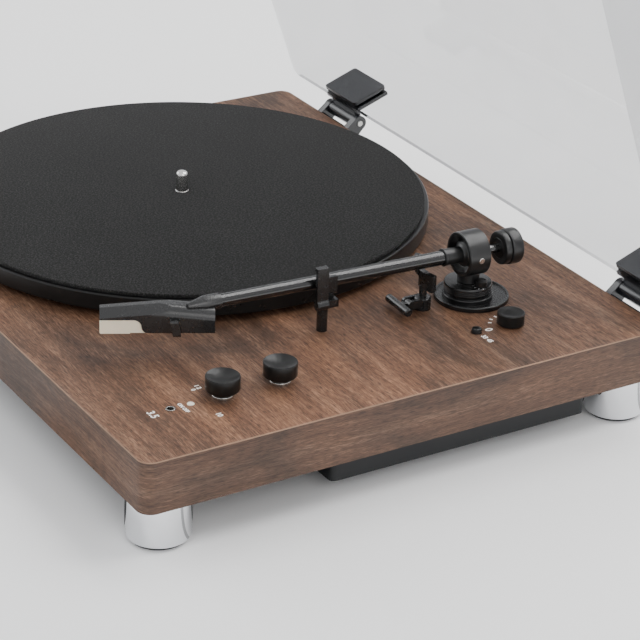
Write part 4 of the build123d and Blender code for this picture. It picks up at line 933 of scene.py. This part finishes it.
# ------------------------------------------------------------ headshell
# A moulded satin shell with a ridged roof, set at an angle on the tube. A cream guard
# slides over the stylus, and a small bent lift stands off the side.
shell_satin = gritty("shell_satin", (0.008, 0.008, 0.0082), 0.25, 0.29, variation=0.05, coarse_scale=200,
                     fine_scale=5200, Specular_IOR_Level=0.75)
dressed("headshell", "moulded_headshell", shell_satin, "arm_beam", "black_satin", ease=0.2, crease=16,
        segments=3)
guard_cream = gritty("guard_cream", (0.92, 0.78, 0.60), 0.32, 0.42, variation=0.03, coarse_scale=200,
                     fine_scale=2600, depth=0.00001, Subsurface_Weight=0.15, Subsurface_Scale=0.003)
dressed("stylus_guard", "cream_guard", guard_cream, "stylus_guard", "cream", ease=0.5, crease=30)
dressed("finger_lift", "bent_finger_lift", shell_satin, "arm_beam", "black_metal", ease=0.3)

# ------------------------------------------------------------ arm rest
# A thin moulded post with a cradle for the tube and a clip that closes beside it.
rest_gloss = gritty("rest_gloss", (0.010, 0.010, 0.010), 0.2, 0.28, variation=0.08, coarse_scale=300,
                    fine_scale=3600, Coat_Weight=0.15, Coat_Roughness=0.12)
dressed("arm_rest", "rest_cradle", rest_gloss, "chassis", "black_gloss", ease=0.25)
dressed("rest_clip", "rest_latch", rest_gloss, "rest_clip", "black_gloss", ease=0.35)

# ------------------------------------------------------------ cueing
# A ribbed housing holds the damped plunger; the small T lever raises the curved bar.
dressed("cue_housing", "ribbed_cue_housing", shell_satin, "chassis", "black_satin", ease=0.2)
dressed("cue_lever", "cue_t_lever", shell_satin, "cue_lever", "black_satin", ease=0.3)
dressed("lift_bar", "curved_lift_bar", shell_satin, "lift_bar", "black_satin", ease=0.3)

# ------------------------------------------------------------ dust cover
# One clear acrylic moulding, very slightly grey, 3 mm thick, with rounded corners.
acrylic, tree, shader = new_finish("clear_acrylic")
texture = put(tree, "ShaderNodeGroup", node_tree=grit)
tuned(texture, Coarse_Scale=25.0, Fine_Scale=900.0, Low=0.0, High=0.008)
tint = ramp(tree, (texture, "Mask"), [(0.3, (0.74, 0.742, 0.75)), (0.7, (0.77, 0.772, 0.78))])
wire(tree, *tint, shader, "Base Color")
wire(tree, texture, "Roughness", shader, "Roughness")
tuned(shader, Transmission_Weight=1.0, IOR=1.12, Coat_Weight=0.2, Coat_Roughness=0.0)
dressed("dust_cover", "acrylic_cover", acrylic, "dust_cover", "acrylic")

# ------------------------------------------------------------ hinges
# Two black friction hinges: a bracket screwed to the slab's back, a pin, and a leaf that
# clamps the cover's wall between two plates.
hinge_gloss = gritty("hinge_gloss", (0.012, 0.013, 0.016), 0.14, 0.24, variation=0.08, coarse_scale=160,
                     fine_scale=3000, Coat_Weight=0.3, Coat_Roughness=0.1)
dressed("hinge_leaves", "cover_leaves", hinge_gloss, "dust_cover", "black_gloss", ease=0.5)
plate_thickness = 3.0
screw_gap = 18.0
screw_rise = 7.0
head_outline = [(0, 0), (2.8, 0), (2.8, 0.5), (2.1, 1.1), (1.1, 1.2), (1.1, 0.6), (0, 0.6)]
for side in ("left", "right"):
    bracket = f"hinge_bracket_{side}"
    dressed(bracket, f"slab_bracket_{side}", hinge_gloss, "chassis", "black_metal", ease=0.5)
    low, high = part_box(bracket)
    first_screw = Vector(((low.x + high.x - screw_gap * mm) / 2, low.y + plate_thickness * mm,
                          low.z + screw_rise * mm))
    place = Matrix.Translation(first_screw) @ Matrix.Rotation(math.radians(-90), 4, "X")
    head = lathe("screw_head", head_outline, screw_zinc, Matrix(), steps=24)
    screws = set_out(f"bracket_screws_{side}", head, place, screw_zinc, count=2,
                     shift_step=(screw_gap * mm, 0.0, 0.0), loose_turn=2 * math.pi)
    fitted(screws, "chassis", "steel")
dressed("hinge_pins", "steel_hinge_pins", screw_zinc, "chassis", "steel", ease=0.3)
